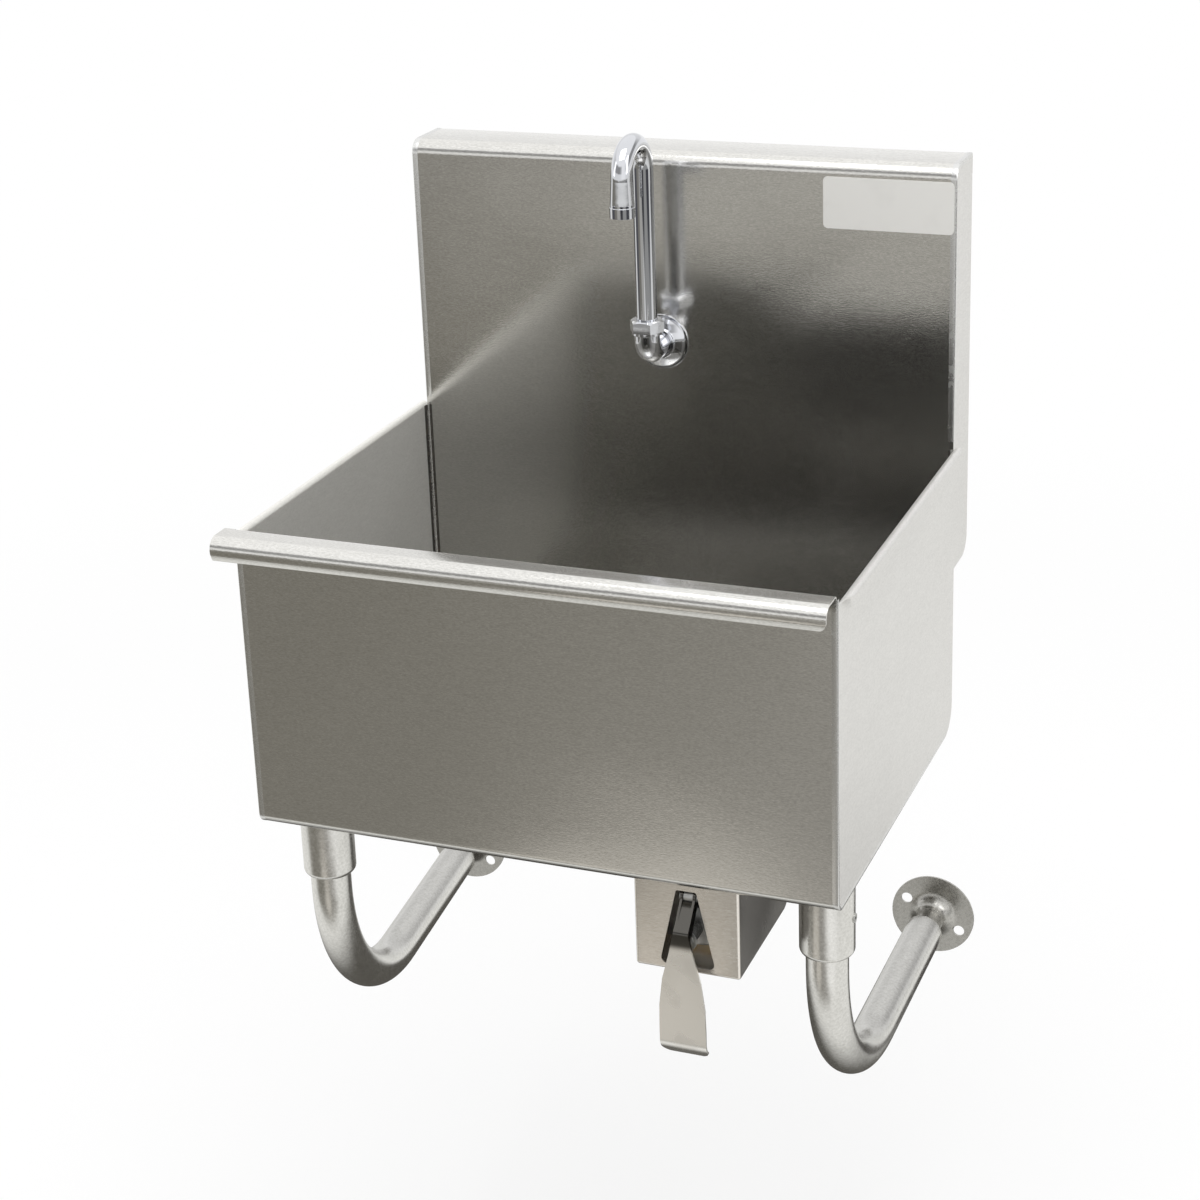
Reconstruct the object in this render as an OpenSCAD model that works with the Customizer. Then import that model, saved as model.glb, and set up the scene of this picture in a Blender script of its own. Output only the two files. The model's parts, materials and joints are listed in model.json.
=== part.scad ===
// Wall-mounted hand sink with a rolled front rim, a splash, a gooseneck faucet,
// a knee-operated valve behind a shroud and two bent tube legs to the wall.
// X runs right, Y runs into the wall, Z runs up. The origin is the centre of the
// wall hanger's back face, so the wall is the plane Y = 0.

/* [Basin] */
// Width over the two end panels
basin_w = 504; // [470:1:600]
// Distance from the wall to the front panel's face
front_y = 421; // [400:1:470]
// Depth from the rim to the underside at the front
basin_h = 265; // [240:1:300]
// How much lower the underside is at the back
fall = 6.5; // [3:0.5:12]
// Thickness of the sheet metal
sheet_t = 1.5; // [1:0.1:2]
// Outside radius of the bend under the front panel
front_bend_r = 10; // [6:1:16]
// Outside radius of the cove under the back wall
cove_r = 25; // [15:1:30]

/* [Rolled rim] */
// How far the roll stands out from the front panel
roll_out = 26.5; // [24:0.5:40]
// Outside radius of the roll
roll_r = 10.5; // [8:0.5:12]
// Height of the roll over its lip
roll_h = 20; // [19:0.5:26]
// How far the lip leans back under the roll, in degrees
lip_lean = 24; // [10:1:28]
// Length of the hem turned in below the lip
lip_hem = 5; // [4:0.5:6]
// Overhang of the roll past the left edge of the front panel
roll_over_left = 10; // [0:1:16]
// Overhang of the roll past the right edge of the front panel
roll_over_right = 0; // [0:1:16]
// Radius of the lip's lower corner at its right end
lip_corner_r = 9; // [3:1:12]

/* [End hems] */
// Width of the hem rolled outward on each end panel
hem_w = 8; // [6:0.5:10]
// Height of the hem's turned-down edge
hem_h = 10; // [8:1:16]
// Drop from the rim to the top of the end hems
hem_drop = 5.3; // [3:0.1:8]
// Length over which each hem is ground down to the front corner
hem_taper = 24; // [10:1:60]

/* [Splash] */
// Distance from the wall to the face of the splash
splash_y = 56.5; // [50:0.5:65]
// Height of the splash above the rim
splash_h = 242; // [225:1:280]
// Outside radius of the bend at the top of the splash
splash_r = 12.5; // [8:0.5:16]
// Length of the hem turned down at the wall
wall_hem = 18; // [12:1:20]
// How far the side returns reach below the rim
return_drop = 121; // [80:1:150]
// Radius of the lower back corner of a return
return_r = 18; // [8:1:24]

/* [Wall hanger] */
// Distance from the basin's side to each end of the hanger
hanger_in = 32; // [27:1:37]
// Distance from the splash top to the hanger's centre
hanger_below = 62; // [58:1:70]
// Height of the hanger plate below its centre
hanger_h = 25; // [22:1:30]
// Thickness of the hanger
hanger_t = 2; // [1.5:0.5:3]
// Offset of the hanger's hook from the wall
hook_gap = 6; // [5:0.5:8]
// Height of the hook's top above the hanger's centre
hook_h = 30; // [26:1:32]
// Distance from each end of the hanger to its bolt hole
bolt_in = 16.8; // [14:0.1:24]
// Diameter of the hanger's bolt holes
hanger_hole_d = 9; // [6:0.5:11]

/* [Label] */
// Width of the blank label
label_w = 114; // [80:1:120]
// Height of the blank label
label_h = 45; // [30:1:60]
// Height of the label's centre above the rim
label_z = 205.5; // [180:0.5:206]
// Distance from the label's right end to the splash edge
label_inset = 1.8; // [1:0.1:10]

/* [Drain] */
// Distance from the wall to the drain's centre
drain_y = 170; // [150:1:230]
// Diameter of the pressed sump round the drain
sump_d = 104; // [100:1:120]
// Depth of the sump
sump_depth = 4; // [3:0.5:8]
// Diameter of the drain's flange
drain_flange_d = 88; // [84:1:94]
// Diameter of the drain body under the flange
drain_d = 70; // [66:1:74]
// Outside diameter of the tailpiece, one and a half inch tube
tail_d = 38; // [32:0.1:40]
// Length of the tailpiece
tail_l = 46; // [40:1:120]

/* [Faucet] */
// Sideways place of the faucet
spout_x = -14.7; // [-40:0.1:40]
// Height of the faucet's shank above the rim
spout_z = 70.9; // [60:0.1:90]
// Distance from the splash face to the riser's axis
riser_out = 37.5; // [36:0.5:60]
// Height of the arch centre above the shank
arch_up = 165.5; // [120:0.5:175]
// Radius of the arch at the tube's centre
arch_r = 25.5; // [25:0.5:60]
// Outside diameter of the gooseneck tube
spout_d = 18.4; // [18:0.1:19]
// Wall of the gooseneck tube
spout_wall = 1.2; // [0.8:0.1:1.6]
// Outside diameter of the elbow
elbow_d = 22.5; // [20:0.1:24]
// Radius of the elbow's bend at its centre
elbow_r = 12.5; // [12.5:0.5:16]
// Width across the flats of the spout nut
nut_af = 27.5; // [27:0.1:32]
// Height of the spout nut
nut_h = 10.5; // [10:0.5:14]
// Diameter of the wall flange
flange_d = 50; // [40:1:70]
// Height of the wall flange's dome
flange_h = 8; // [6:0.5:12]
// Outside diameter of the aerator
aerator_d = 22; // [21.8:0.1:28]
// Height of the aerator
aerator_h = 11.5; // [11:0.5:20]

/* [Knee valve] */
// Distance from the right socket's axis to the middle of the knee valve
knee_in = 102.5; // [85:0.5:120]
// Width of the shroud
shroud_w = 88.9; // [86:0.1:110]
// Depth of the shroud from front to back
shroud_d = 132; // [124:1:140]
// Distance from the shroud's front to the front panel's face
shroud_back = 16; // [12:0.5:24]
// Height of the shroud, from the basin's underside to its lower edge
shroud_h = 83.5; // [81:0.5:95]
// Width of the cut-out at its top
slot_top_w = 17; // [17:0.5:22]
// Width of the cut-out at its bottom
slot_low_w = 47.5; // [40:0.5:56]
// Drop from the basin's underside to the pedal's pivot
pivot_drop = 19; // [18:0.5:21]
// Distance from the shroud's front face back to the pivot
pivot_back = 10; // [9.5:0.1:12]
// Depth of the valve's stem below the pivot
stem_low = 34; // [33:0.5:35]
// Diameter of the valve stem
stem_d = 8; // [6:0.1:8]
// Travel of the valve stem
stem_travel = 6; // [5:0.1:7]
// Diameter of the pivot pin
pin_d = 6; // [4:0.1:7]
// Thickness of the pedal's sheet
pedal_t = 2; // [1.5:0.1:2.5]
// Width of the pedal's pad
pad_w = 39.5; // [30:0.5:44]
// Drop from the basin's underside to the pad's lower end
pad_drop = 155.5; // [130:0.5:170]
// Distance from the shroud's front to the pad's face
pad_out = 16; // [15.5:0.1:18]

/* [Legs] */
// Distance from the basin's side to each socket's axis
leg_in = 28; // [25:1:50]
// Distance from the front panel's face back to the sockets' axes
leg_back = 64; // [50:1:80]
// Outside diameter of the leg tube
leg_d = 35; // [30:0.1:38]
// Wall of the leg tube
leg_wall = 1.5; // [1.2:0.1:2]
// Outside diameter of the sockets
socket_d = 45.5; // [43:0.5:56]
// Height of the sockets, from the basin's underside to their lower edge
socket_h = 72; // [60:1:85]
// Drop from the basin's underside to the legs' level run
run_drop = 230.5; // [215:0.5:255]
// Bend radius of the legs at the tube's centre
leg_bend_r = 145; // [110:1:150]
// How far the left leg is swung outward in its socket, in degrees
left_yaw = 5.7; // [0:0.1:8]
// Diameter of the legs' wall flanges
foot_d = 79; // [76:1:90]
// Pitch circle of each wall flange's two holes
foot_pcd = 57.4; // [56:0.1:62]
// Diameter of the wall flanges' holes
foot_hole_d = 10.5; // [6:0.1:11]
// Tilt of the line through the right flange's holes, in degrees
right_tilt = 28; // [0:1:90]
// Tilt of the line through the left flange's holes, in degrees
left_tilt = 38; // [0:1:90]
// Diameter of the neck between flange and tube
neck_d = 23; // [20:0.5:26]

/* [Hidden] */
$fn = 96;

// One overrun serves every cut, one lap joins the runs of a bent sheet to its
// bends, and two clearances serve every fit
over = 1;
lap = 0.05;
slack = 0.3;
fit = 0.05;
// How much bigger than its tube a hole in the sheet is, all round
hole_play = 0.5;

// Levels and planes that the pieces share
half_t = sheet_t / 2;
rim_z = hanger_below - splash_h;
side_x = basin_w / 2 - sheet_t;
under_front = rim_z - basin_h;
fall_angle = atan(fall / (front_y - splash_y));
front_mid = [-front_y + half_t, under_front + half_t];
back_mid = [-splash_y + half_t, under_front - fall + half_t];
splash_top = rim_z + splash_h;
small_bend = 3;
far = 900;

// Height of the bottom sheet's middle, underside and upper side at a depth y
function mid_z(y) = front_mid[1]
    + (back_mid[1] - front_mid[1]) * (y - front_mid[0]) / (back_mid[0] - front_mid[0]);
mid_angle = atan((front_mid[1] - back_mid[1]) / (back_mid[0] - front_mid[0]));
function under_z(y) = mid_z(y) - half_t / cos(mid_angle);
function over_z(y) = mid_z(y) + half_t / cos(mid_angle);

function unit(v) = v / norm(v);
function left_of(v) = [-v[1], v[0]];
function turn(a, b) = atan2(a[0] * b[1] - a[1] * b[0], a * b);
function run(points, i) = unit(points[i + 1] - points[i]);
function lead(points, radii, i) = (i == 0 || i == len(points) - 1) ? 0
    : radii[i - 1] * tan(abs(turn(run(points, i - 1), run(points, i))) / 2);

// An outline in Y and Z, drawn from one X to another
module along_x(from, to) {
    translate([from, 0, 0])
        rotate([90, 0, 90])
            linear_extrude(to - from)
                children();
}

// An outline in X and Z, drawn from one Y to another
module along_y(from, to) {
    translate([0, to, 0])
        rotate([90, 0, 0])
            linear_extrude(to - from)
                children();
}

// A solid turned round an axis that runs along Y, from one place toward the wall
module round_y(place) {
    translate(place)
        rotate([-90, 0, 0])
            children();
}

// The quarter or part ring that one bend of a sheet makes
module bend_ring(centre, r, t, from, to) {
    reach = 2 * (r + t);
    translate(centre)
        intersection() {
            difference() {
                circle(r + t / 2);
                circle(r - t / 2);
            }
            polygon([[0, 0], from * reach, unit(from + to) * reach, to * reach]);
        }
}

// A bent sheet seen on its edge: straight runs through the points at the middle
// of its thickness, with a bend of the given radius at each inner point
module folded(points, radii, t) {
    last = len(points) - 1;
    for (i = [0 : last - 1]) {
        d = run(points, i);
        before = lead(points, radii, i) - (i > 0 ? lap : 0);
        after = lead(points, radii, i + 1) - (i < last - 1 ? lap : 0);
        length = norm(points[i + 1] - points[i]) - before - after;
        if (length > 2 * lap + lap)
            translate(points[i] + d * before)
                rotate(atan2(d[1], d[0]))
                    translate([0, -t / 2])
                        square([length, t]);
    }
    for (i = [1 : last - 1]) {
        side = sign(turn(run(points, i - 1), run(points, i)));
        n_in = left_of(run(points, i - 1)) * side;
        n_out = left_of(run(points, i)) * side;
        centre = points[i] - run(points, i - 1) * lead(points, radii, i) + n_in * radii[i - 1];
        bend_ring(centre, radii[i - 1], t, -n_in, -n_out);
    }
}

// A convex outline with rounded corners
module rounded(points, radii) {
    n = len(points);
    ahead = [for (i = [0 : n - 1]) unit(points[(i + 1) % n] - points[i])];
    leads = [for (i = [0 : n - 1]) radii[i] * tan(abs(turn(ahead[(i + n - 1) % n], ahead[i])) / 2)];
    starts = [for (i = [0 : n - 1]) points[i] - ahead[(i + n - 1) % n] * leads[i]];
    ends = [for (i = [0 : n - 1]) points[i] + ahead[i] * leads[i]];
    polygon([for (i = [0 : n - 1], k = [0, 1]) k == 0 ? starts[i] : ends[i]]);
    for (i = [0 : n - 1])
        if (radii[i] > 0) {
            centre = starts[i] + left_of(ahead[(i + n - 1) % n]) * radii[i];
            intersection() {
                translate(centre)
                    circle(radii[i]);
                polygon([centre, starts[i], points[i], ends[i]]);
            }
        }
}

// A bent round bar in the plane X = 0: centre of the bend, its radius, the bar's
// radius, the first angle and the sweep
module bent_bar(centre, bend_r, r, from, sweep) {
    translate([0, centre[0], centre[1]])
        rotate([90, 0, 90])
            rotate([0, 0, from])
                rotate_extrude(angle = sweep)
                    translate([bend_r, 0])
                        circle(r);
}

// A hexagon with its flats a given distance apart
module hex(af, h) {
    cylinder(d = af / cos(180 / 6), h = h, $fn = 6);
}

// A flat ring that stands on its lower face
module ring(d_out, d_in, h) {
    difference() {
        cylinder(d = d_out, h = h);
        translate([0, 0, -over])
            cylinder(d = d_in, h = h + 2 * over);
    }
}

// Everything above the underside of the basin's bottom
module above_bottom() {
    along_x(-far, far)
        polygon([[-far, under_z(-far)], [0, under_z(0)], [0, far], [-far, far]]);
}

// The basin and its splash

// The roll's turned-in hem, its leaning lip and the corner that the roll rounds
roll_tangent = -front_y - roll_out + roll_r;
roll_corner = roll_tangent - (roll_r - half_t) * tan((90 + lip_lean) / 2);
lip_foot = roll_corner + (roll_h - sheet_t) * tan(lip_lean);
roll_points = [
    [lip_foot + lip_hem, rim_z - roll_h + half_t],
    [lip_foot, rim_z - roll_h + half_t],
    [roll_corner, rim_z - half_t]
];
lip_bend = 1.5;
sump_z = over_z(-drain_y) - sump_depth;
drain_hole_d = drain_d + 2 * hole_play;

module bowl_sheet() {
    color("silver")
        difference() {
            union() {
                along_x(-side_x, side_x)
                    folded(
                        concat(roll_points, [
                            [-front_y + half_t, rim_z - half_t],
                            front_mid,
                            back_mid,
                            [-splash_y + half_t, splash_top - half_t],
                            [-half_t, splash_top - half_t],
                            [-half_t, splash_top - wall_hem]
                        ]),
                        [
                            lip_bend, roll_r - half_t, small_bend - half_t,
                            front_bend_r - half_t, cove_r - half_t,
                            splash_r - half_t, small_bend - half_t
                        ],
                        sheet_t
                    );
                roll_end(-side_x - roll_over_left, -side_x);
                roll_end(side_x, side_x + roll_over_right);
                intersection() {
                    translate([0, -drain_y, sump_z - sheet_t])
                        cylinder(d = sump_d + 2 * sheet_t, h = sump_depth + 2 * sheet_t);
                    along_x(-sump_d, sump_d)
                        polygon([
                            [-far, over_z(-far)], [-far, -far], [0, -far], [0, over_z(0)]
                        ]);
                }
            }
            translate([0, -drain_y, sump_z])
                cylinder(d = sump_d, h = sump_depth + 2 * sheet_t);
            translate([0, -drain_y, sump_z - sheet_t - over])
                cylinder(d = drain_hole_d, h = sheet_t + 2 * over);
            round_y([spout_x, -splash_y - over, rim_z + spout_z])
                cylinder(d = shank_hole_d, h = sheet_t + 2 * over);
            lip_corner();
        }
}

// The roll alone, where it overhangs an end panel
module roll_end(from, to) {
    if (to > from)
        along_x(from, to)
            folded(
                concat(roll_points, [[-front_y, rim_z - half_t]]),
                [lip_bend, roll_r - half_t],
                sheet_t
            );
}

// What is cut off the lip's lower right corner
module lip_corner() {
    corner_x = side_x + roll_over_right;
    low = rim_z - roll_h;
    along_y(-front_y - roll_out - over, -front_y - over)
        difference() {
            translate([corner_x - lip_corner_r, low - over])
                square([lip_corner_r + over, lip_corner_r + over]);
            translate([corner_x - lip_corner_r, low + lip_corner_r])
                circle(lip_corner_r);
        }
}

hem_top = rim_z - hem_drop;

module end_panel() {
    spring_z = hem_top - hem_w / 2;
    union() {
        along_x(side_x, side_x + sheet_t)
            rounded(
                [
                    [-front_y, spring_z],
                    [-front_y, under_z(-front_y)],
                    [-splash_y + sheet_t, under_z(-splash_y + sheet_t)],
                    [-splash_y + sheet_t, spring_z]
                ],
                [0, front_bend_r, cove_r, 0]
            );
        difference() {
            along_y(-front_y, -splash_y + sheet_t)
                folded(
                    [
                        [side_x + half_t, spring_z],
                        [side_x + half_t, hem_top - half_t],
                        [side_x + hem_w - half_t, hem_top - half_t],
                        [side_x + hem_w - half_t, hem_top - hem_h]
                    ],
                    [hem_w / 2 - half_t, hem_w / 2 - half_t],
                    sheet_t
                );
            translate([0, 0, hem_top - hem_h - over])
                linear_extrude(hem_h + 2 * over)
                    polygon([
                        [side_x + sheet_t, -front_y - over],
                        [side_x + sheet_t, -front_y],
                        [side_x + hem_w, -front_y + hem_taper],
                        [side_x + hem_w + over, -front_y + hem_taper],
                        [side_x + hem_w + over, -front_y - over]
                    ]);
        }
    }
}

module end_panel_right() {
    color("gainsboro")
        end_panel();
}

module end_panel_left() {
    color("gainsboro")
        mirror([1, 0, 0])
            end_panel();
}

module splash_return() {
    low = rim_z - return_drop;
    high = splash_top - sheet_t;
    along_x(side_x - sheet_t, side_x)
        difference() {
            rounded(
                [
                    [-splash_y + sheet_t, high],
                    [-splash_y + sheet_t, low],
                    [0, low],
                    [0, high]
                ],
                [splash_r - sheet_t, 0, return_r, 0]
            );
            translate([-sheet_t, splash_top - wall_hem])
                square([sheet_t + over, wall_hem]);
            translate([-small_bend, splash_top - small_bend])
                square(small_bend + over);
        }
}

module splash_return_right() {
    color("gainsboro")
        splash_return();
}

module splash_return_left() {
    color("gainsboro")
        mirror([1, 0, 0])
            splash_return();
}

// The wall hanger and the clip that hooks over it

hanger_w = basin_w - 2 * hanger_in;
hanger_bolts = hanger_w - 2 * bolt_in;
hanger_mid = -hanger_t / 2;
hanger_hole_z = -hanger_h / 2;
clip_flange = 16;
clip_lip = 12;

module wall_hanger() {
    color("darkgray")
        difference() {
            along_x(-hanger_w / 2, hanger_w / 2)
                folded(
                    [
                        [hanger_mid, -hanger_h],
                        [hanger_mid, hook_gap],
                        [hanger_mid - hook_gap, 2 * hook_gap],
                        [hanger_mid - hook_gap, hook_h]
                    ],
                    [small_bend, small_bend],
                    hanger_t
                );
            for (side = [-1, 1])
                round_y([side * hanger_bolts / 2, -hanger_t - over, hanger_hole_z])
                    cylinder(d = hanger_hole_d, h = hanger_t + 2 * over);
        }
}

module hanger_clip() {
    web_z = hook_h + hanger_t / 2;
    lip_y = -hook_gap / 2;
    flange_y = -splash_y + sheet_t + hanger_t / 2;
    color("darkgray")
        along_x(-hanger_w / 2, hanger_w / 2)
            folded(
                [
                    [flange_y, web_z + clip_flange],
                    [flange_y, web_z],
                    [lip_y, web_z],
                    [lip_y, web_z - clip_lip]
                ],
                [small_bend, hanger_t],
                hanger_t
            );
}

// The blank label stuck on the splash

label_t = 0.5;
label_r = 4;

module blank_label() {
    right = side_x - label_inset;
    low = rim_z + label_z - label_h / 2;
    color("whitesmoke")
        along_y(-splash_y - label_t, -splash_y)
            rounded(
                [
                    [right - label_w, low],
                    [right, low],
                    [right, low + label_h],
                    [right - label_w, low + label_h]
                ],
                [label_r, label_r, label_r, label_r]
            );
}

// The drain, in heights measured from the sump's floor

drain_flange_t = 2;
drain_recess = 3;
drain_cup = 22;
drain_floor = 3;
drain_wall = 2;
drain_ledge = 3;
outlet_l = 20;
outlet_wall = 3;
drain_low = drain_recess + drain_cup + drain_floor;
tail_lip = 2;
outlet_d = tail_d + 2 * tail_lip;
gasket_t = 3;
locknut_h = 7;
strainer_t = 1.5;
strainer_d = drain_d - 2 * drain_wall - 2 * slack;

module at_drain(z) {
    translate([0, -drain_y, sump_z + z])
        children();
}

module drain_body() {
    color("silver")
        at_drain(0)
            difference() {
                union() {
                    cylinder(d = drain_flange_d, h = drain_flange_t);
                    translate([0, 0, -drain_low])
                        cylinder(d = drain_d, h = drain_low + drain_flange_t / 2);
                    translate([0, 0, -drain_low - outlet_l])
                        cylinder(d = outlet_d, h = outlet_l + drain_floor / 2);
                }
                translate([0, 0, -drain_recess])
                    cylinder(d = drain_d - 2 * drain_wall, h = drain_recess + drain_flange_t + over);
                translate([0, 0, -drain_recess - drain_cup])
                    cylinder(d = drain_d - 2 * drain_wall - 2 * drain_ledge, h = drain_cup + over);
                translate([0, 0, -drain_low - outlet_l - over])
                    cylinder(d = outlet_d - 2 * outlet_wall, h = outlet_l + drain_floor + 2 * over);
            }
}

strainer_hole_d = 5;
strainer_ring_shares = [0.28, 0.55, 0.82];
strainer_holes = [6, 12, 18];

module drain_strainer() {
    color("gainsboro")
        at_drain(-drain_recess)
            difference() {
                cylinder(d = strainer_d, h = strainer_t);
                for (k = [0 : len(strainer_holes) - 1], i = [1 : strainer_holes[k]])
                    rotate([0, 0, i * 360 / strainer_holes[k]])
                        translate([strainer_ring_shares[k] * strainer_d / 2, 0, -over])
                            cylinder(d = strainer_hole_d, h = strainer_t + 2 * over);
                translate([0, 0, -over])
                    cylinder(d = knob_stud_d + 2 * fit, h = strainer_t + 2 * over);
            }
}

knob_stud_d = 5;
knob_d = 9;
knob_h = 3;
knob_tail = 3;

module strainer_knob() {
    color("silver")
        at_drain(-drain_recess) {
            translate([0, 0, -knob_tail])
                cylinder(d = knob_stud_d, h = knob_tail + strainer_t + knob_h / 2);
            translate([0, 0, strainer_t])
                cylinder(d = knob_d, h = knob_h);
        }
}

module drain_gasket() {
    color("dimgray")
        at_drain(-sheet_t - gasket_t)
            ring(drain_flange_d, drain_d + 2 * slack, gasket_t);
}

module drain_locknut() {
    lugs = 8;
    lug_w = 6;
    lug_depth = 3;
    color("silver")
        at_drain(-sheet_t - gasket_t - locknut_h)
            difference() {
                ring(drain_flange_d, drain_d + 2 * fit, locknut_h);
                for (i = [1 : lugs])
                    rotate([0, 0, i * 360 / lugs])
                        translate([drain_flange_d / 2 - lug_depth, -lug_w / 2, -over])
                            cube([lug_depth + over, lug_w, locknut_h + 2 * over]);
            }
}

tail_wall = 1.2;
tail_flange = 1.5;
slip_nut_h = 16;
tail_top = -drain_low - outlet_l;
slip_shoulder = 4;
stop_bead_h = 2;
stop_bead_out = 1;

module tailpiece() {
    color("silver")
        at_drain(tail_top - tail_flange - tail_l)
            difference() {
                union() {
                    cylinder(d = tail_d, h = tail_l + tail_flange);
                    translate([0, 0, tail_l])
                        cylinder(d = outlet_d, h = tail_flange);
                    translate([0, 0, tail_l - slip_shoulder - slack - stop_bead_h])
                        cylinder(d = tail_d + 2 * stop_bead_out, h = stop_bead_h);
                }
                translate([0, 0, -over])
                    cylinder(d = tail_d - 2 * tail_wall, h = tail_l + tail_flange + 2 * over);
            }
}

module slip_nut() {
    nut_wall = 4;
    slip_low = tail_top - tail_flange - slip_shoulder;
    color("gold")
        at_drain(slip_low)
            difference() {
                hex(outlet_d + 2 * nut_wall, slip_nut_h);
                translate([0, 0, slip_shoulder])
                    cylinder(d = outlet_d + 2 * fit, h = slip_nut_h);
                translate([0, 0, -over])
                    cylinder(d = tail_d + 2 * fit, h = slip_nut_h);
            }
}

// The faucet

shank_d = 20;
shank_hole_d = shank_d + 2 * hole_play;
shank_behind = 36;
shank_washer_d = 40;
shank_washer_t = 2;
shank_nut_af = 32;
shank_nut_h = 8;
relief_w = 2;
relief_depth = 1;
shank_z = rim_z + spout_z;
riser_y = -splash_y - riser_out;
elbow_bore = 13;
collar_d = 24.6;
collar_up = 26.5;
collar_top = spout_z + collar_up;
nut_grip = 6;
nut_low = collar_top - nut_grip;
bead_h = 2;
bead_d = 22.4;
washer_h = 0.8;
stub_l = 11;
oring_d = 1.9;

// A place on the riser's axis, at a height above the rim
module on_riser(z) {
    translate([spout_x, riser_y, rim_z + z])
        children();
}

module faucet_flange() {
    lip = 1.5;
    ring_w = 2.5;
    ring_h = 3;
    color("whitesmoke")
        translate([spout_x, -splash_y, shank_z])
            rotate([90, 0, 0])
                difference() {
                    union() {
                        rotate_extrude()
                            intersection() {
                                translate([0, flange_h - dome_r()])
                                    circle(dome_r());
                                square([flange_d / 2, flange_h]);
                            }
                        cylinder(d = flange_d, h = lip);
                        cylinder(d = elbow_d + 2 * ring_w, h = flange_h + ring_h / 2);
                    }
                    translate([0, 0, -over])
                        cylinder(d = elbow_d + 2 * fit, h = flange_h + ring_h + 2 * over);
                }
}

// Radius of the ball that the flange's dome is part of
function dome_r() = (pow(flange_d / 2, 2) + pow(flange_h, 2)) / (2 * flange_h);

module faucet_elbow() {
    elbow_end = riser_y + elbow_r;
    shank_rear = -splash_y + shank_behind;
    relief_y = -splash_y + sheet_t + shank_washer_t + shank_nut_h + slack;
    color("whitesmoke")
        difference() {
            union() {
                round_y([spout_x, elbow_end, shank_z])
                    cylinder(d = elbow_d, h = -splash_y - elbow_end);
                round_y([spout_x, -splash_y - over, shank_z])
                    cylinder(d = shank_d, h = shank_behind + over);
                translate([spout_x, 0, 0])
                    bent_bar([elbow_end, shank_z + elbow_r], elbow_r, elbow_d / 2, 180, 90);
                on_riser(spout_z + elbow_r)
                    cylinder(d = elbow_d, h = nut_low - spout_z - elbow_r);
                on_riser(nut_low - 1.5 * bead_h)
                    cylinder(d = collar_d + bead_h, h = 1.5 * bead_h - slack / 2);
                on_riser(nut_low - slack)
                    cylinder(d = collar_d, h = collar_top - nut_low + slack);
            }
            round_y([spout_x, elbow_end, shank_z])
                cylinder(d = elbow_bore, h = shank_rear - elbow_end + over);
            translate([spout_x, 0, 0])
                bent_bar([elbow_end, shank_z + elbow_r], elbow_r, elbow_bore / 2, 180, 90);
            on_riser(spout_z + elbow_r)
                cylinder(d = elbow_bore, h = collar_top - spout_z - elbow_r + over);
            on_riser(collar_top - stub_l - slack)
                cylinder(d = spout_d + 2 * fit, h = stub_l + slack + over);
            on_riser(collar_top - stub_l / 2 - oring_d / 2 - fit)
                cylinder(d = spout_d + 2 * oring_d + 4 * fit, h = oring_d + 2 * fit);
            round_y([spout_x, relief_y, shank_z])
                ring(shank_d + over, shank_d - 2 * relief_depth, relief_w);
        }
}

module shank_washer() {
    color("dimgray")
        round_y([spout_x, -splash_y + sheet_t, shank_z])
            ring(shank_washer_d, shank_d + 2 * slack, shank_washer_t);
}

module shank_locknut() {
    color("gold")
        round_y([spout_x, -splash_y + sheet_t + shank_washer_t, shank_z])
            difference() {
                hex(shank_nut_af, shank_nut_h);
                translate([0, 0, -over])
                    cylinder(d = shank_d + 2 * fit, h = shank_nut_h + 2 * over);
            }
}

module spout_nut() {
    inner_top = collar_top + washer_h + bead_h + 2 * fit;
    color("whitesmoke")
        on_riser(nut_low)
            difference() {
                intersection() {
                    hex(nut_af, nut_h);
                    rotate_extrude()
                        polygon([
                            [0, 0],
                            [nut_af / 2 / cos(180 / 6), 0],
                            [nut_af / 2 / cos(180 / 6), nut_h - bead_h],
                            [nut_af / 2 - bead_h / 2, nut_h],
                            [0, nut_h]
                        ]);
                }
                translate([0, 0, -over])
                    cylinder(d = collar_d + 2 * fit, h = collar_top - nut_low + over);
                cylinder(d = bead_d + 4 * fit, h = inner_top - nut_low);
                cylinder(d = spout_d + 2 * slack, h = nut_h + over);
            }
}

module spout_washer() {
    color("white")
        on_riser(collar_top)
            ring(bead_d, spout_d + 2 * fit, washer_h);
}

module spout_oring() {
    color("black")
        on_riser(collar_top - stub_l / 2)
            rotate_extrude()
                translate([spout_d / 2 + fit + oring_d / 2, 0])
                    circle(oring_d / 2);
}

module spout_tube() {
    arch_z = spout_z + arch_up;
    aerator_top = arch_z - arch_drop;
    bore = spout_d - 2 * spout_wall;
    outlet_y = riser_y - 2 * arch_r;
    color("whitesmoke")
        difference() {
            union() {
                on_riser(collar_top - stub_l)
                    cylinder(d = spout_d, h = arch_z - collar_top + stub_l);
                on_riser(collar_top + washer_h + fit)
                    cylinder(d = bead_d, h = bead_h - fit);
                translate([spout_x, 0, 0])
                    bent_bar([riser_y - arch_r, rim_z + arch_z], arch_r, spout_d / 2, 0, 180);
                translate([spout_x, outlet_y, rim_z + aerator_top - tube_in])
                    cylinder(d = spout_d, h = arch_drop + tube_in);
                translate([spout_x, outlet_y, rim_z + aerator_top])
                    cylinder(d1 = aerator_d - 2 * aerator_step, d2 = spout_d, h = arch_drop);
            }
            on_riser(collar_top - stub_l - over)
                cylinder(d = bore, h = arch_z - collar_top + stub_l + over);
            translate([spout_x, 0, 0])
                bent_bar([riser_y - arch_r, rim_z + arch_z], arch_r, bore / 2, 0, 180);
            translate([spout_x, outlet_y, rim_z + aerator_top - tube_in - over])
                cylinder(d = bore, h = arch_drop + tube_in + over);
        }
}

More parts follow.
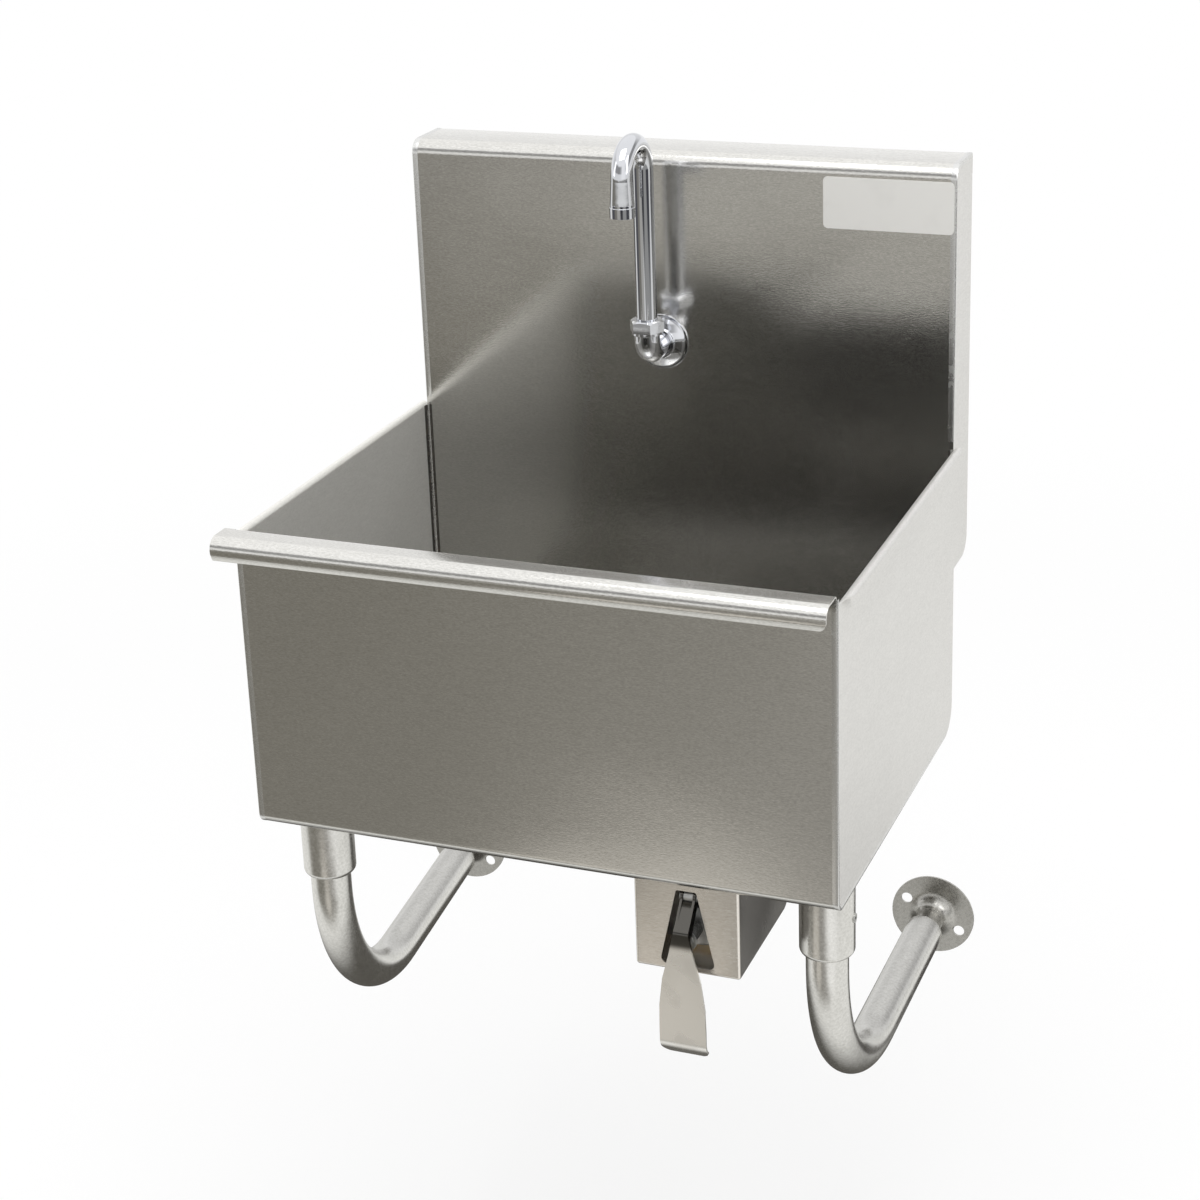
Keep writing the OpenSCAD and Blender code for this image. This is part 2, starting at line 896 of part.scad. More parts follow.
arch_drop = 20;
tube_in = 6;

module at_aerator() {
    translate([spout_x, riser_y - 2 * arch_r, rim_z + spout_z + arch_up - arch_drop - aerator_h])
        children();
}

aerator_lip = 1.5;
aerator_step = 0.5;

module aerator_shell() {
    step_h = 2.5;
    color("whitesmoke")
        at_aerator()
            difference() {
                union() {
                    cylinder(d = aerator_d - 2 * aerator_step, h = aerator_h);
                    cylinder(d = aerator_d, h = aerator_h - step_h);
                }
                translate([0, 0, -over])
                    cylinder(d = spout_d - 2 * aerator_lip, h = aerator_h + 2 * over);
                translate([0, 0, aerator_lip])
                    cylinder(d = spout_d + 2 * fit, h = aerator_h);
            }
}

module aerator_insert() {
    hole_d = 2.4;
    holes = 6;
    insert_h = aerator_h - aerator_lip - tube_in - slack;
    color("dimgray")
        at_aerator()
            translate([0, 0, aerator_lip])
                difference() {
                    cylinder(d = spout_d - 2 * slack, h = insert_h);
                    translate([0, 0, -over]) {
                        cylinder(d = hole_d, h = aerator_h + 2 * over);
                        for (i = [1 : holes])
                            rotate([0, 0, i * 360 / holes])
                                translate([hole_d * 2, 0, 0])
                                    cylinder(d = hole_d, h = aerator_h + 2 * over);
                    }
                }
}

// The knee valve

socket_x = basin_w / 2 - leg_in;
knee_x = socket_x - knee_in;
shroud_y = -front_y + shroud_back;
shroud_rear = shroud_y + shroud_d;
shroud_z = under_front - shroud_h;
pivot_y = shroud_y + pivot_back;
pivot_z = under_front - pivot_drop;
stem_z = pivot_z - stem_low;
slot_up = 9;
slot_strip = 5.5;
slot_top_z = pivot_z + slot_up;
slot_low_z = shroud_z + slot_strip;
slot_r = 5;
slot_top_r = 2;
tab_w = 12;
shroud_cove = 14;

// The outline of the shroud's side, under the basin's bottom
module shroud_side() {
    difference() {
        rounded(
            [
                [shroud_y, under_z(shroud_y)],
                [shroud_y, shroud_z],
                [shroud_rear, shroud_z],
                [shroud_rear, under_z(shroud_rear)]
            ],
            [0, small_bend, shroud_cove, 0]
        );
        children();
    }
}

// A U of three walls and a floor, open toward the wall, with two tabs turned in
module valve_shroud() {
    left = knee_x - shroud_w / 2;
    right = knee_x + shroud_w / 2;
    color("tan")
        difference() {
            union() {
                difference() {
                    along_x(left, right)
                        shroud_side();
                    along_x(left + sheet_t, right - sheet_t)
                        rounded(
                            [
                                [shroud_y + sheet_t, rim_z],
                                [shroud_y + sheet_t, shroud_z + sheet_t],
                                [shroud_rear + over, shroud_z + sheet_t],
                                [shroud_rear + over, rim_z]
                            ],
                            [0, small_bend - sheet_t, 0, 0]
                        );
                }
                for (side = [-1, 1])
                    intersection() {
                        translate([
                            knee_x + side * (shroud_w / 2 - tab_w / 2 - half_t) - tab_w / 2,
                            shroud_y + shroud_d / 4,
                            rim_z - far
                        ])
                            cube([tab_w, shroud_d / 2, far]);
                        along_x(left, right)
                            polygon([
                                [shroud_y, under_z(shroud_y)],
                                [shroud_y, under_z(shroud_y) - sheet_t],
                                [shroud_rear, under_z(shroud_rear) - sheet_t],
                                [shroud_rear, under_z(shroud_rear)]
                            ]);
                    }
            }
            at_studs()
                translate([0, 0, -sheet_t - over])
                    cylinder(d = stud_d + 2 * slack, h = sheet_t + 2 * over);
            along_y(shroud_y - over, shroud_y + sheet_t + over)
                translate([knee_x, 0])
                    rounded(
                        [
                            [-slot_top_w / 2, slot_top_z],
                            [-slot_low_w / 2, slot_low_z],
                            [slot_low_w / 2, slot_low_z],
                            [slot_top_w / 2, slot_top_z]
                        ],
                        [slot_top_r, slot_r, slot_r, slot_top_r]
                    );
        }
}

stud_d = 4;
stud_l = 9;
stud_nut_af = 7;
stud_nut_h = 3.2;
stud_shares = [0.35, 0.65];

// Each weld stud's place, square to the sloping bottom of the basin
module at_studs() {
    for (side = [-1, 1], share = stud_shares) {
        x = knee_x + side * (shroud_w / 2 - tab_w / 2 - sheet_t);
        y = shroud_y + share * shroud_d;
        translate([x, y, under_z(y)])
            rotate([-mid_angle, 0, 0])
                children();
    }
}

module shroud_studs() {
    color("silver")
        at_studs()
            translate([0, 0, -stud_l])
                cylinder(d = stud_d, h = stud_l);
}

module shroud_nuts() {
    color("silver")
        at_studs()
            translate([0, 0, -sheet_t - stud_nut_h])
                difference() {
                    hex(stud_nut_af, stud_nut_h);
                    translate([0, 0, -over])
                        cylinder(d = stud_d + 2 * fit, h = stud_nut_h + 2 * over);
                }
}

plate_t = 3;
plate_back = 29;
plate_y = pivot_y + plate_back;
plate_w = 62;
plate_low = 22;
lug_w = 8;
lug_r = 5.7;
bonnet_af = 34;
bonnet_l = 17;
bonnet_thread = 26;
body_d = 40;
body_l = 63;
port_x = 27;
port_d = 21;

module valve_bracket() {
    low = stem_z - plate_low;
    foot_l = 36;
    color("gray")
        difference() {
            union() {
                intersection() {
                    union() {
                        translate([knee_x - plate_w / 2, plate_y, low])
                            cube([plate_w, plate_t, far]);
                        along_x(knee_x - plate_w / 2, knee_x + plate_w / 2)
                            polygon([
                                [plate_y, under_z(plate_y) - plate_t],
                                [plate_y + foot_l, under_z(plate_y + foot_l) - plate_t],
                                [plate_y + foot_l, far],
                                [plate_y, far]
                            ]);
                    }
                    along_x(-far, far)
                        polygon([
                            [-far, under_z(-far)], [-far, -far], [0, -far], [0, under_z(0)]
                        ]);
                }
                along_x(knee_x - lug_w / 2, knee_x + lug_w / 2) {
                    translate([pivot_y, pivot_z])
                        circle(lug_r);
                    translate([pivot_y, pivot_z - lug_r])
                        square([plate_y - pivot_y + plate_t / 2, 2 * lug_r]);
                }
            }
            translate([knee_x - lug_w, pivot_y, pivot_z])
                rotate([0, 90, 0])
                    cylinder(d = pin_d, h = 2 * lug_w);
            round_y([knee_x, plate_y - over, stem_z])
                cylinder(d = bonnet_thread + 2 * slack, h = plate_t + 2 * over);
        }
}

// The valve body behind the bracket: a front chamber fed by two side ports, a
// seat, and a back chamber that leads to the outlet
front_chamber_d = 20;
seat_bore = 12;
back_chamber_d = 24;
body_y = plate_y + plate_t;
bonnet_stub = 12;
front_chamber_l = 24;
seat_y = body_y + front_chamber_l;
seat_t = 3;
port_bore = 14.3;
port_stub = 12;
outlet_port_d = 22;

module valve_body() {
    rear = body_y + body_l;
    color("goldenrod")
        difference() {
            union() {
                round_y([knee_x, body_y, stem_z])
                    cylinder(d = body_d, h = body_l);
                for (side = [-1, 1])
                    round_y([knee_x + side * port_x, body_y + small_bend, stem_z])
                        cylinder(d = port_d, h = body_l + port_stub - small_bend);
                round_y([knee_x, rear - over, stem_z])
                    cylinder(d = outlet_port_d, h = port_stub + over);
            }
            round_y([knee_x, body_y - over, stem_z])
                cylinder(d = bonnet_thread + 2 * fit, h = bonnet_stub + slack + over);
            round_y([knee_x, body_y, stem_z])
                cylinder(d = front_chamber_d, h = seat_y - body_y);
            round_y([knee_x, body_y, stem_z])
                cylinder(d = seat_bore, h = body_l - port_stub);
            round_y([knee_x, seat_y + seat_t, stem_z])
                cylinder(d = back_chamber_d, h = disc_t + holder_t + screw_head_h + 2 * stem_travel);
            round_y([knee_x, seat_y + seat_t, stem_z])
                cylinder(d = port_bore, h = body_l + port_stub);
            for (side = [-1, 1])
                round_y([knee_x + side * port_x, seat_y - front_chamber_d / 4 - port_bore / 4, stem_z])
                    cylinder(d = port_bore, h = body_l + port_stub);
            translate([knee_x - port_x, seat_y - front_chamber_d / 4, stem_z])
                rotate([0, 90, 0])
                    cylinder(d = front_chamber_d / 3, h = 2 * port_x);
        }
}

module valve_bonnet() {
    face = plate_y - bonnet_l;
    chamfer = 2;
    color("silver")
        difference() {
            union() {
                intersection() {
                    round_y([knee_x, face, stem_z])
                        hex(bonnet_af, bonnet_l);
                    round_y([knee_x, face, stem_z])
                        rotate_extrude()
                            polygon([
                                [0, 0],
                                [bonnet_af / 2 - chamfer / 2, 0],
                                [bonnet_af / 2 / cos(180 / 6), chamfer],
                                [bonnet_af / 2 / cos(180 / 6), bonnet_l],
                                [0, bonnet_l]
                            ]);
                }
                round_y([knee_x, plate_y - over, stem_z])
                    cylinder(d = bonnet_thread, h = over + plate_t + bonnet_stub);
            }
            round_y([knee_x, face - over, stem_z])
                cylinder(d = stem_d + 2 * fit, h = bonnet_l + plate_t + bonnet_stub + 2 * over);
            round_y([knee_x, plate_y, stem_z])
                cylinder(d = stem_d + 2 * oring_d + 4 * fit, h = oring_d + 2 * fit);
        }
}

module stem_seal() {
    color("black")
        round_y([knee_x, plate_y + fit + oring_d / 2, stem_z])
            rotate_extrude()
                translate([stem_d / 2 + fit + oring_d / 2, 0])
                    circle(oring_d / 2);
}

// The stem, from its domed tip behind the pad to the disc behind the seat
pad_face = shroud_y - pad_out;
pad_rear = pad_face + pedal_t;
tip_y = pad_rear + slack;
disc_y = seat_y + seat_t;
disc_t = 3;
disc_d = 20;
holder_t = 2.5;
guide_d = 5;
washer_out = 2;
washer_y = shroud_y - washer_out;
clip_groove = 1;
clip_w = 2;
clip_t = 0.8;
spring_washer_t = 1.2;
spring_washer_d = 18;

module valve_stem() {
    color("silver")
        difference() {
            union() {
                round_y([knee_x, tip_y + stem_d / 2, stem_z])
                    cylinder(d = stem_d, h = disc_y - tip_y - stem_d / 2);
                translate([knee_x, tip_y + stem_d / 2, stem_z])
                    sphere(d = stem_d);
                round_y([knee_x, disc_y - over, stem_z])
                    cylinder(d = guide_d, h = over + disc_t + holder_t);
            }
            round_y([knee_x, washer_y - clip_t - fit, stem_z])
                ring(stem_d + over, stem_d - 2 * clip_groove, clip_t + 2 * fit);
            round_y([knee_x, disc_y + disc_t - over, stem_z])
                cylinder(d = guide_d / 2 + 2 * fit, h = disc_t + holder_t);
        }
}

module seat_disc() {
    color("black")
        round_y([knee_x, disc_y + fit, stem_z])
            ring(disc_d, guide_d + 2 * fit, disc_t + holder_t - fit);
}

screw_head_h = 2.5;

module disc_screw() {
    head_d = 10;
    color("gold")
        round_y([knee_x, disc_y + disc_t, stem_z]) {
            cylinder(d = guide_d / 2, h = holder_t + screw_head_h / 2);
            translate([0, 0, holder_t])
                cylinder(d = head_d, h = screw_head_h);
        }
}

module spring_washer() {
    color("silver")
        round_y([knee_x, washer_y, stem_z])
            ring(spring_washer_d, stem_d + 2 * fit, spring_washer_t);
}

module stem_clip() {
    color("dimgray")
        round_y([knee_x, washer_y - clip_t, stem_z])
            ring(stem_d + 2 * clip_w, stem_d - 2 * clip_groove + 2 * fit, clip_t);
}

// The return spring: one unbroken wire of six curls between the washer and bonnet
spring_r = 6.6;
spring_wire = 1.5;
spring_turns = 6;
spring_sides = 6;
spring_steps = 8;
spring_from = washer_y + spring_washer_t + slack + spring_wire / 2;
spring_to = plate_y - bonnet_l - slack - spring_wire / 2;
spring_l = spring_to - spring_from;
spring_rings = spring_turns * spring_steps;

function spring_mid(i) = let (a = i * 360 / spring_steps)
    [spring_r * cos(a), spring_l * i / spring_rings, spring_r * sin(a)];
function spring_dir(i) = let (a = i * 360 / spring_steps)
    unit([
        -2 * PI * spring_r * sin(a),
        spring_l / spring_turns,
        2 * PI * spring_r * cos(a)
    ]);
function spring_out(i) = let (a = i * 360 / spring_steps) [cos(a), 0, sin(a)];
spring_points = [
    for (i = [0 : spring_rings], k = [0 : spring_sides - 1])
        let (b = k * 360 / spring_sides)
        spring_mid(i) + spring_wire / 2
            * (cos(b) * spring_out(i) + sin(b) * cross(spring_dir(i), spring_out(i)))
];
spring_faces = concat(
    [[for (k = [0 : spring_sides - 1]) k]],
    [
        for (i = [0 : spring_rings - 1], k = [0 : spring_sides - 1])
            let (a = i * spring_sides + k, b = i * spring_sides + (k + 1) % spring_sides)
            [a, a + spring_sides, b + spring_sides]
    ],
    [
        for (i = [0 : spring_rings - 1], k = [0 : spring_sides - 1])
            let (a = i * spring_sides + k, b = i * spring_sides + (k + 1) % spring_sides)
            [a, b + spring_sides, b]
    ],
    [[for (k = [0 : spring_sides - 1]) spring_rings * spring_sides + spring_sides - 1 - k]]
);
spring_gap = min([
    for (i = [0 : spring_rings - spring_steps], j = [i + spring_steps - 2 : spring_rings])
        norm(spring_mid(i) - spring_mid(j)) - spring_wire
]);
echo(spring_least_gap = spring_gap);

module return_spring() {
    color("silver")
        translate([knee_x, spring_from, stem_z])
            polyhedron(spring_points, spring_faces);
}

nipple_d = 14.2;
nipple_bore = 10;
nipple_l = 34;
nipple_in = 12;
nipple_hex = 19;
nipple_hex_h = 6;

module nipple(x) {
    port_face = body_y + body_l + port_stub;
    color("goldenrod")
        round_y([x, port_face - nipple_in, stem_z])
            difference() {
                union() {
                    cylinder(d = nipple_d, h = nipple_l);
                    translate([0, 0, nipple_in])
                        hex(nipple_hex, nipple_hex_h);
                }
                translate([0, 0, -over])
                    cylinder(d = nipple_bore, h = nipple_l + 2 * over);
            }
}

module inlet_nipple_hot() {
    nipple(knee_x - port_x);
}

module inlet_nipple_cold() {
    nipple(knee_x + port_x);
}

module outlet_nipple() {
    nipple(knee_x);
}

// The pedal: a pad of sheet metal whose sides turn back into a channel that
// straddles the bracket's lug

channel_in = lug_w / 2 + slack;
channel_out = channel_in + pedal_t;
pin_head = 1.5;
pin_head_w = 1;
pin_clip = 0.8;
pin_clip_w = 1.5;
pin_groove = 0.8;

module pivot_pin() {
    tip = pin_clip + 2 * pin_groove;
    color("silver")
        translate([knee_x - channel_out - slack - pin_head, pivot_y, pivot_z])
            rotate([0, 90, 0]) {
                cylinder(d = pin_d + 2 * pin_head_w, h = pin_head);
                difference() {
                    cylinder(d = pin_d, h = pin_head + 2 * (channel_out + slack) + tip);
                    translate([0, 0, pin_head + 2 * (channel_out + slack)])
                        ring(pin_d + over, pin_d - 2 * pin_groove, pin_clip + 2 * fit);
                }
            }
}

module pivot_clip() {
    color("dimgray")
        translate([knee_x + channel_out + slack + fit, pivot_y, pivot_z])
            rotate([0, 90, 0])
                ring(pin_d + 2 * pin_clip_w, pin_d - 2 * pin_groove + 2 * fit, pin_clip);
}

pad_mid = pad_face + pedal_t / 2;
channel_l = 21;
cheek_l = 40;
knee_r = 5;
knee_top = pivot_z - channel_l;
pad_end = under_front - pad_drop;
curl_back = 10;
curl_h = 12;
curl_r = 12;
eye_r = 6.5;
pad_neck = 2 * channel_out;
// Shares of the pad's length below the channel, and of its width there
pad_shares = [[0.15, 0.5], [0.37, 0.83], [0.58, 0.98], [0.76, 1]];

// The pad seen from the front
module pad_outline() {
    h = knee_top - pad_end;
    side = [for (s = pad_shares) [s[1] * pad_w / 2, knee_top - s[0] * h]];
    corner = 8;
    count = len(pad_shares);
    rounded(
        concat(
            [[-pad_neck / 2, pivot_z + eye_r]],
            [[-pad_neck / 2, knee_top]],
            [for (s = side) [-s[0], s[1]]],
            [[-pad_w / 2, pad_end]],
            [[pad_w / 2, pad_end]],
            [for (i = [count - 1 : -1 : 0]) side[i]],
            [[pad_neck / 2, knee_top]],
            [[pad_neck / 2, pivot_z + eye_r]]
        ),
        concat([0, 0], [for (s = side) 0], [corner, corner], [for (s = side) 0], [0, 0])
    );
}

module knee_pedal() {
    web_from = [pivot_y - eye_r + pedal_t / 2, pivot_z - eye_r / 2];
    cheek_end = knee_top - cheek_l;
    cheek_rear = stem_z + stem_d;
    color("whitesmoke")
        difference() {
            union() {
                intersection() {
                    along_x(knee_x - pad_w, knee_x + pad_w)
                        folded(
                            [
                                web_from,
                                [pad_mid, knee_top],
                                [pad_mid, pad_end + curl_h],
                                [pad_mid + curl_back, pad_end + pedal_t / 2]
                            ],
                            [knee_r, curl_r],
                            pedal_t
                        );
                    along_y(pad_face - over, pivot_y + eye_r + over)
                        translate([knee_x, 0])
                            pad_outline();
                }
                for (side = [0, 1])
                    mirror_at(knee_x, side)
                        along_x(knee_x + channel_in, knee_x + channel_out) {
                            translate([pivot_y, pivot_z])
                                circle(eye_r);
                            polygon([
                                [pivot_y - eye_r, pivot_z],
                                [pad_mid, knee_top],
                                [pad_mid, cheek_end],
                                [washer_y - clip_t - slack - pedal_t, cheek_rear - 2 * stem_d],
                                [washer_y - clip_t - slack - pedal_t, cheek_rear],
                                [pivot_y, pivot_z - eye_r],
                                [pivot_y, pivot_z]
                            ]);
                        }
            }
            translate([knee_x - pad_w, pivot_y, pivot_z])
                rotate([0, 90, 0])
                    cylinder(d = pin_d + 2 * fit, h = 2 * pad_w);
        }
}

// Its children as they are, or turned over about a plane X = x
module mirror_at(x, flip) {
    translate([x, 0, 0])
        mirror([flip, 0, 0])
            translate([-x, 0, 0])
                children();
}

// The legs

leg_y = front_y - leg_back;
run_z = under_front - run_drop;
bend_top = run_z + leg_bend_r;
socket_lip = under_front - socket_h;
leg_gap_top = 12;
leg_end = 38.5;
screw_d = 8;
screw_out = 1;
screw_up = 34;
screw_z = socket_lip + screw_up;
foot_t = 1.8;
throat_w = 1;
foot_flare = 12;
collar_l = 2.5;
plug_l = 22;

module leg_socket(side) {
    wall = (socket_d - leg_d) / 2 - fit;
    color("silver")
        difference() {
            translate([side * socket_x, -leg_y, socket_lip])
                rotate_extrude() {
                    translate([socket_d / 2 - wall, wall])
                        square([wall, basin_h + fall]);
                    intersection() {
                        translate([socket_d / 2 - wall, wall])
                            circle(wall);
                        translate([socket_d / 2 - wall, 0])
                            square(wall);
                    }
                }
            above_bottom();
            translate([side * socket_x, -leg_y, screw_z])
                rotate([0, side * 90, 0])
                    cylinder(d = screw_d + 2 * fit, h = socket_d);
        }
}

module leg_socket_left() {
    leg_socket(-1);
}

module leg_socket_right() {
    leg_socket(1);
}

module socket_screws() {
    key = 4;
    key_depth = 3;
    length = (socket_d - leg_d) / 2 + screw_out;
    color("dimgray")
        for (side = [-1, 1])
            translate([side * (socket_x + leg_d / 2 + fit), -leg_y, screw_z])
                rotate([0, side * 90, 0])
                    difference() {
                        cylinder(d = screw_d, h = length - fit);
                        translate([0, 0, length - key_depth])
                            hex(key, key_depth + over);
                    }
}

// A leg in its own frame: down from the socket's axis, then back along +Y
module leg_tube(length) {
    top = under_z(-leg_y) - leg_gap_top;
    bore = leg_d - 2 * leg_wall;
    end = length - leg_end;
    color("silver")
        difference() {
            union() {
                translate([0, 0, bend_top])
                    cylinder(d = leg_d, h = top - bend_top);
                bent_bar([leg_bend_r, bend_top], leg_bend_r, leg_d / 2, 180, 90);
                round_y([0, leg_bend_r, run_z])
                    cylinder(d = leg_d, h = end - leg_bend_r);
            }
            translate([0, 0, bend_top])
                cylinder(d = bore, h = top - bend_top + over);
            bent_bar([leg_bend_r, bend_top], leg_bend_r, bore / 2, 180, 90);
            round_y([0, leg_bend_r, run_z])
                cylinder(d = bore, h = end - leg_bend_r + over);
        }
}

// Turns what stands on a socket's axis outward by an angle
module at_leg(side, yaw) {
    translate([side * socket_x, -leg_y, 0])
        rotate([0, 0, -side * yaw])
            children();
}

module leg_tube_left() {
    at_leg(-1, left_yaw)
        leg_tube(leg_y / cos(left_yaw));
}

module leg_tube_right() {
    at_leg(1, 0)
        leg_tube(leg_y);
}

module leg_flange(side, yaw, tilt) {
    x = side * (socket_x + leg_y * tan(yaw));
    bore = leg_d - 2 * leg_wall;
    length = leg_y / cos(yaw);
    end = length - leg_end;
    throat = neck_d / 2 + throat_w;
    color("silver")
        difference() {
            union() {
                translate([x, 0, run_z])
                    rotate([90, 0, 0])
                        rotate_extrude() {
                            square([foot_d / 2, foot_t]);
                            difference() {
                                square([throat + foot_flare, foot_t + foot_flare]);
                                translate([throat + foot_flare, foot_t + foot_flare])
                                    circle(foot_flare);
                            }
                        }
                at_leg(side, yaw) {
                    round_y([0, end, run_z])
                        cylinder(d = neck_d, h = leg_end - foot_t);
                    round_y([0, end, run_z])
                        rotate_extrude()
                            rounded(
                                [[0, 0], [leg_d / 2, 0], [leg_d / 2, collar_l], [0, collar_l]],
                                [0, 0, collar_l / 2, 0]
                            );
                    round_y([0, end - plug_l, run_z])
                        cylinder(d = bore - 2 * fit, h = plug_l + over);
                }
            }
            for (turn_by = [0, 180])
                translate([x, over, run_z])
                    rotate([90, 0, 0])
                        rotate([0, 0, turn_by - tilt])
                            translate([foot_pcd / 2, 0, 0])
                                cylinder(d = foot_hole_d, h = foot_t + foot_flare + 2 * over);
        }
}

module leg_flange_left() {
    leg_flange(-1, left_yaw, left_tilt);
}

module leg_flange_right() {
    leg_flange(1, 0, right_tilt);
}

bowl_sheet();
end_panel_left();
end_panel_right();
splash_return_left();
splash_return_right();
wall_hanger();
hanger_clip();
blank_label();
drain_body();
drain_strainer();
strainer_knob();
drain_gasket();
drain_locknut();
tailpiece();
slip_nut();
faucet_flange();
faucet_elbow();
shank_washer();
shank_locknut();
spout_nut();
spout_washer();
spout_oring();
spout_tube();
aerator_shell();
aerator_insert();
valve_shroud();
shroud_studs();
shroud_nuts();
valve_bracket();
valve_body();
valve_bonnet();
stem_seal();
valve_stem();
seat_disc();
disc_screw();
return_spring();
spring_washer();
stem_clip();
inlet_nipple_hot();
inlet_nipple_cold();
outlet_nipple();
pivot_pin();
pivot_clip();
knee_pedal();
leg_socket_left();
leg_socket_right();
socket_screws();
leg_tube_left();
leg_tube_right();
leg_flange_left();
leg_flange_right();
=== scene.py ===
import json
import math

import bmesh
import bpy
from mathutils import Matrix, Vector

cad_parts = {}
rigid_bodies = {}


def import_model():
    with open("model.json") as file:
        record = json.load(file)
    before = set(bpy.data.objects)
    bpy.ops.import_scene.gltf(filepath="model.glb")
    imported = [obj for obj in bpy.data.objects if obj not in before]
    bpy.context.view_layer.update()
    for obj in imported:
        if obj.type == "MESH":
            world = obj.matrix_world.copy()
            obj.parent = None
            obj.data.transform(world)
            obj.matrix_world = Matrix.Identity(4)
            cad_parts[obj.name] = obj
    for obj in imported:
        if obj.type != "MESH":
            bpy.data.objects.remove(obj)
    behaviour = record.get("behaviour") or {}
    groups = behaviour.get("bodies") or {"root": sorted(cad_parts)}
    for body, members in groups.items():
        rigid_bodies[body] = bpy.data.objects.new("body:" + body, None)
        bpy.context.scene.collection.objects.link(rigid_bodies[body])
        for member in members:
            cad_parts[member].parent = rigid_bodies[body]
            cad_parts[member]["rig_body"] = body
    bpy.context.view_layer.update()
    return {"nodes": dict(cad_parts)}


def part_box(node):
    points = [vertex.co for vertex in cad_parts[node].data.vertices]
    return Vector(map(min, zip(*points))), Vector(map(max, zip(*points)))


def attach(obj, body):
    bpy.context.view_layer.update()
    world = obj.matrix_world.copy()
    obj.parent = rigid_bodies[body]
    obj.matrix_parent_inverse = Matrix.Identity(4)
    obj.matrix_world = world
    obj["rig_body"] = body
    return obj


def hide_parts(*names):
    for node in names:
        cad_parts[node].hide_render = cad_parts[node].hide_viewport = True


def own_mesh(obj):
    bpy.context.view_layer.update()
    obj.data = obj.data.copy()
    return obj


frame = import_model()
nodes = frame["nodes"]
mm = 0.001
print("the frame is in")

# The camera stands where the photograph's did

cameraView = {
    "place": (0.7213, -2.0493, 0.5174),  # metres
    "azimuth": 21.88,  # degrees, from straight ahead toward the right
    "elevation": 19.36,
    "roll": -2.06,
    "lens": 74.416,  # mm
    "sensor": 36,  # mm wide
    "farEnd": 50,  # metres
    "upShift": -0.1083,  # share of the frame's width
}


def makeCamera(spec):
    azimuth = math.radians(spec["azimuth"])
    elevation = math.radians(spec["elevation"])
    roll = math.radians(spec["roll"])
    ahead = Vector((
        -math.sin(azimuth) * math.cos(elevation),
        math.cos(azimuth) * math.cos(elevation),
        -math.sin(elevation),
    ))
    level = Vector((math.cos(azimuth), math.sin(azimuth), 0))
    upright = level.cross(ahead)
    right = level * math.cos(roll) + upright * math.sin(roll)
    up = upright * math.cos(roll) - level * math.sin(roll)
    data = bpy.data.cameras.new("photoCamera")
    data.lens = spec["lens"]
    data.sensor_width = spec["sensor"]
    data.shift_y = spec["upShift"]
    data.clip_end = spec["farEnd"]
    camera = bpy.data.objects.new("photoCamera", data)
    turned = Matrix((right, up, -ahead)).transposed().to_4x4()
    camera.matrix_world = Matrix.Translation(spec["place"]) @ turned
    bpy.context.scene.collection.objects.link(camera)
    bpy.context.scene.camera = camera


makeCamera(cameraView)
bpy.context.scene.view_settings.view_transform = "Standard"
print("the camera is set")

# Small helpers for node trees


def addNode(tree, kind, place=(0, 0), **settings):
    made = tree.nodes.new(kind)
    made.location = place
    for name, value in settings.items():
        setattr(made, name, value)
    return made


def feed(tree, target, socket, source):
    if isinstance(source, bpy.types.NodeSocket):
        tree.links.new(source, target.inputs[socket])
    else:
        target.inputs[socket].default_value = source


def doMath(tree, operation, values, place=(0, 0), clamp=False):
    made = addNode(tree, "ShaderNodeMath", place, operation=operation, use_clamp=clamp)
    for i, value in enumerate(values):
        feed(tree, made, i, value)
    return made.outputs[0]


def blendColours(tree, share, first, second, place=(0, 0), blend="MIX"):
    made = addNode(tree, "ShaderNodeMix", place, data_type="RGBA", blend_type=blend)
    feed(tree, made, 0, share)
    feed(tree, made, 6, first)
    feed(tree, made, 7, second)
    return made.outputs[2]


def shareOfRange(tree, value, low, high, place=(0, 0)):
    made = addNode(tree, "ShaderNodeMapRange", place, interpolation_type="SMOOTHSTEP")
    feed(tree, made, "Value", value)
    feed(tree, made, "From Min", low)
    feed(tree, made, "From Max", high)
    return made.outputs[0]


def newGroup(name, inputs, outputs):
    group = bpy.data.node_groups.new(name, "ShaderNodeTree")
    for label, kind, value in inputs:
        socket = group.interface.new_socket(name=label, in_out="INPUT", socket_type=kind)
        socket.default_value = value
    for label, kind in outputs:
        group.interface.new_socket(name=label, in_out="OUTPUT", socket_type=kind)
    entry = addNode(group, "NodeGroupInput", (-900, 0))
    leave = addNode(group, "NodeGroupOutput", (900, 0))
    return group, entry, leave


def useGroup(tree, group, place=(0, 0), **values):
    made = addNode(tree, "ShaderNodeGroup", place, node_tree=group)
    for label, value in values.items():
        feed(tree, made, label, value)
    return made


# Long fine streaks of a grained finish, and the slow clouds that lie over them

broadScale = 0.2  # of the broad streaks, beside the fine ones


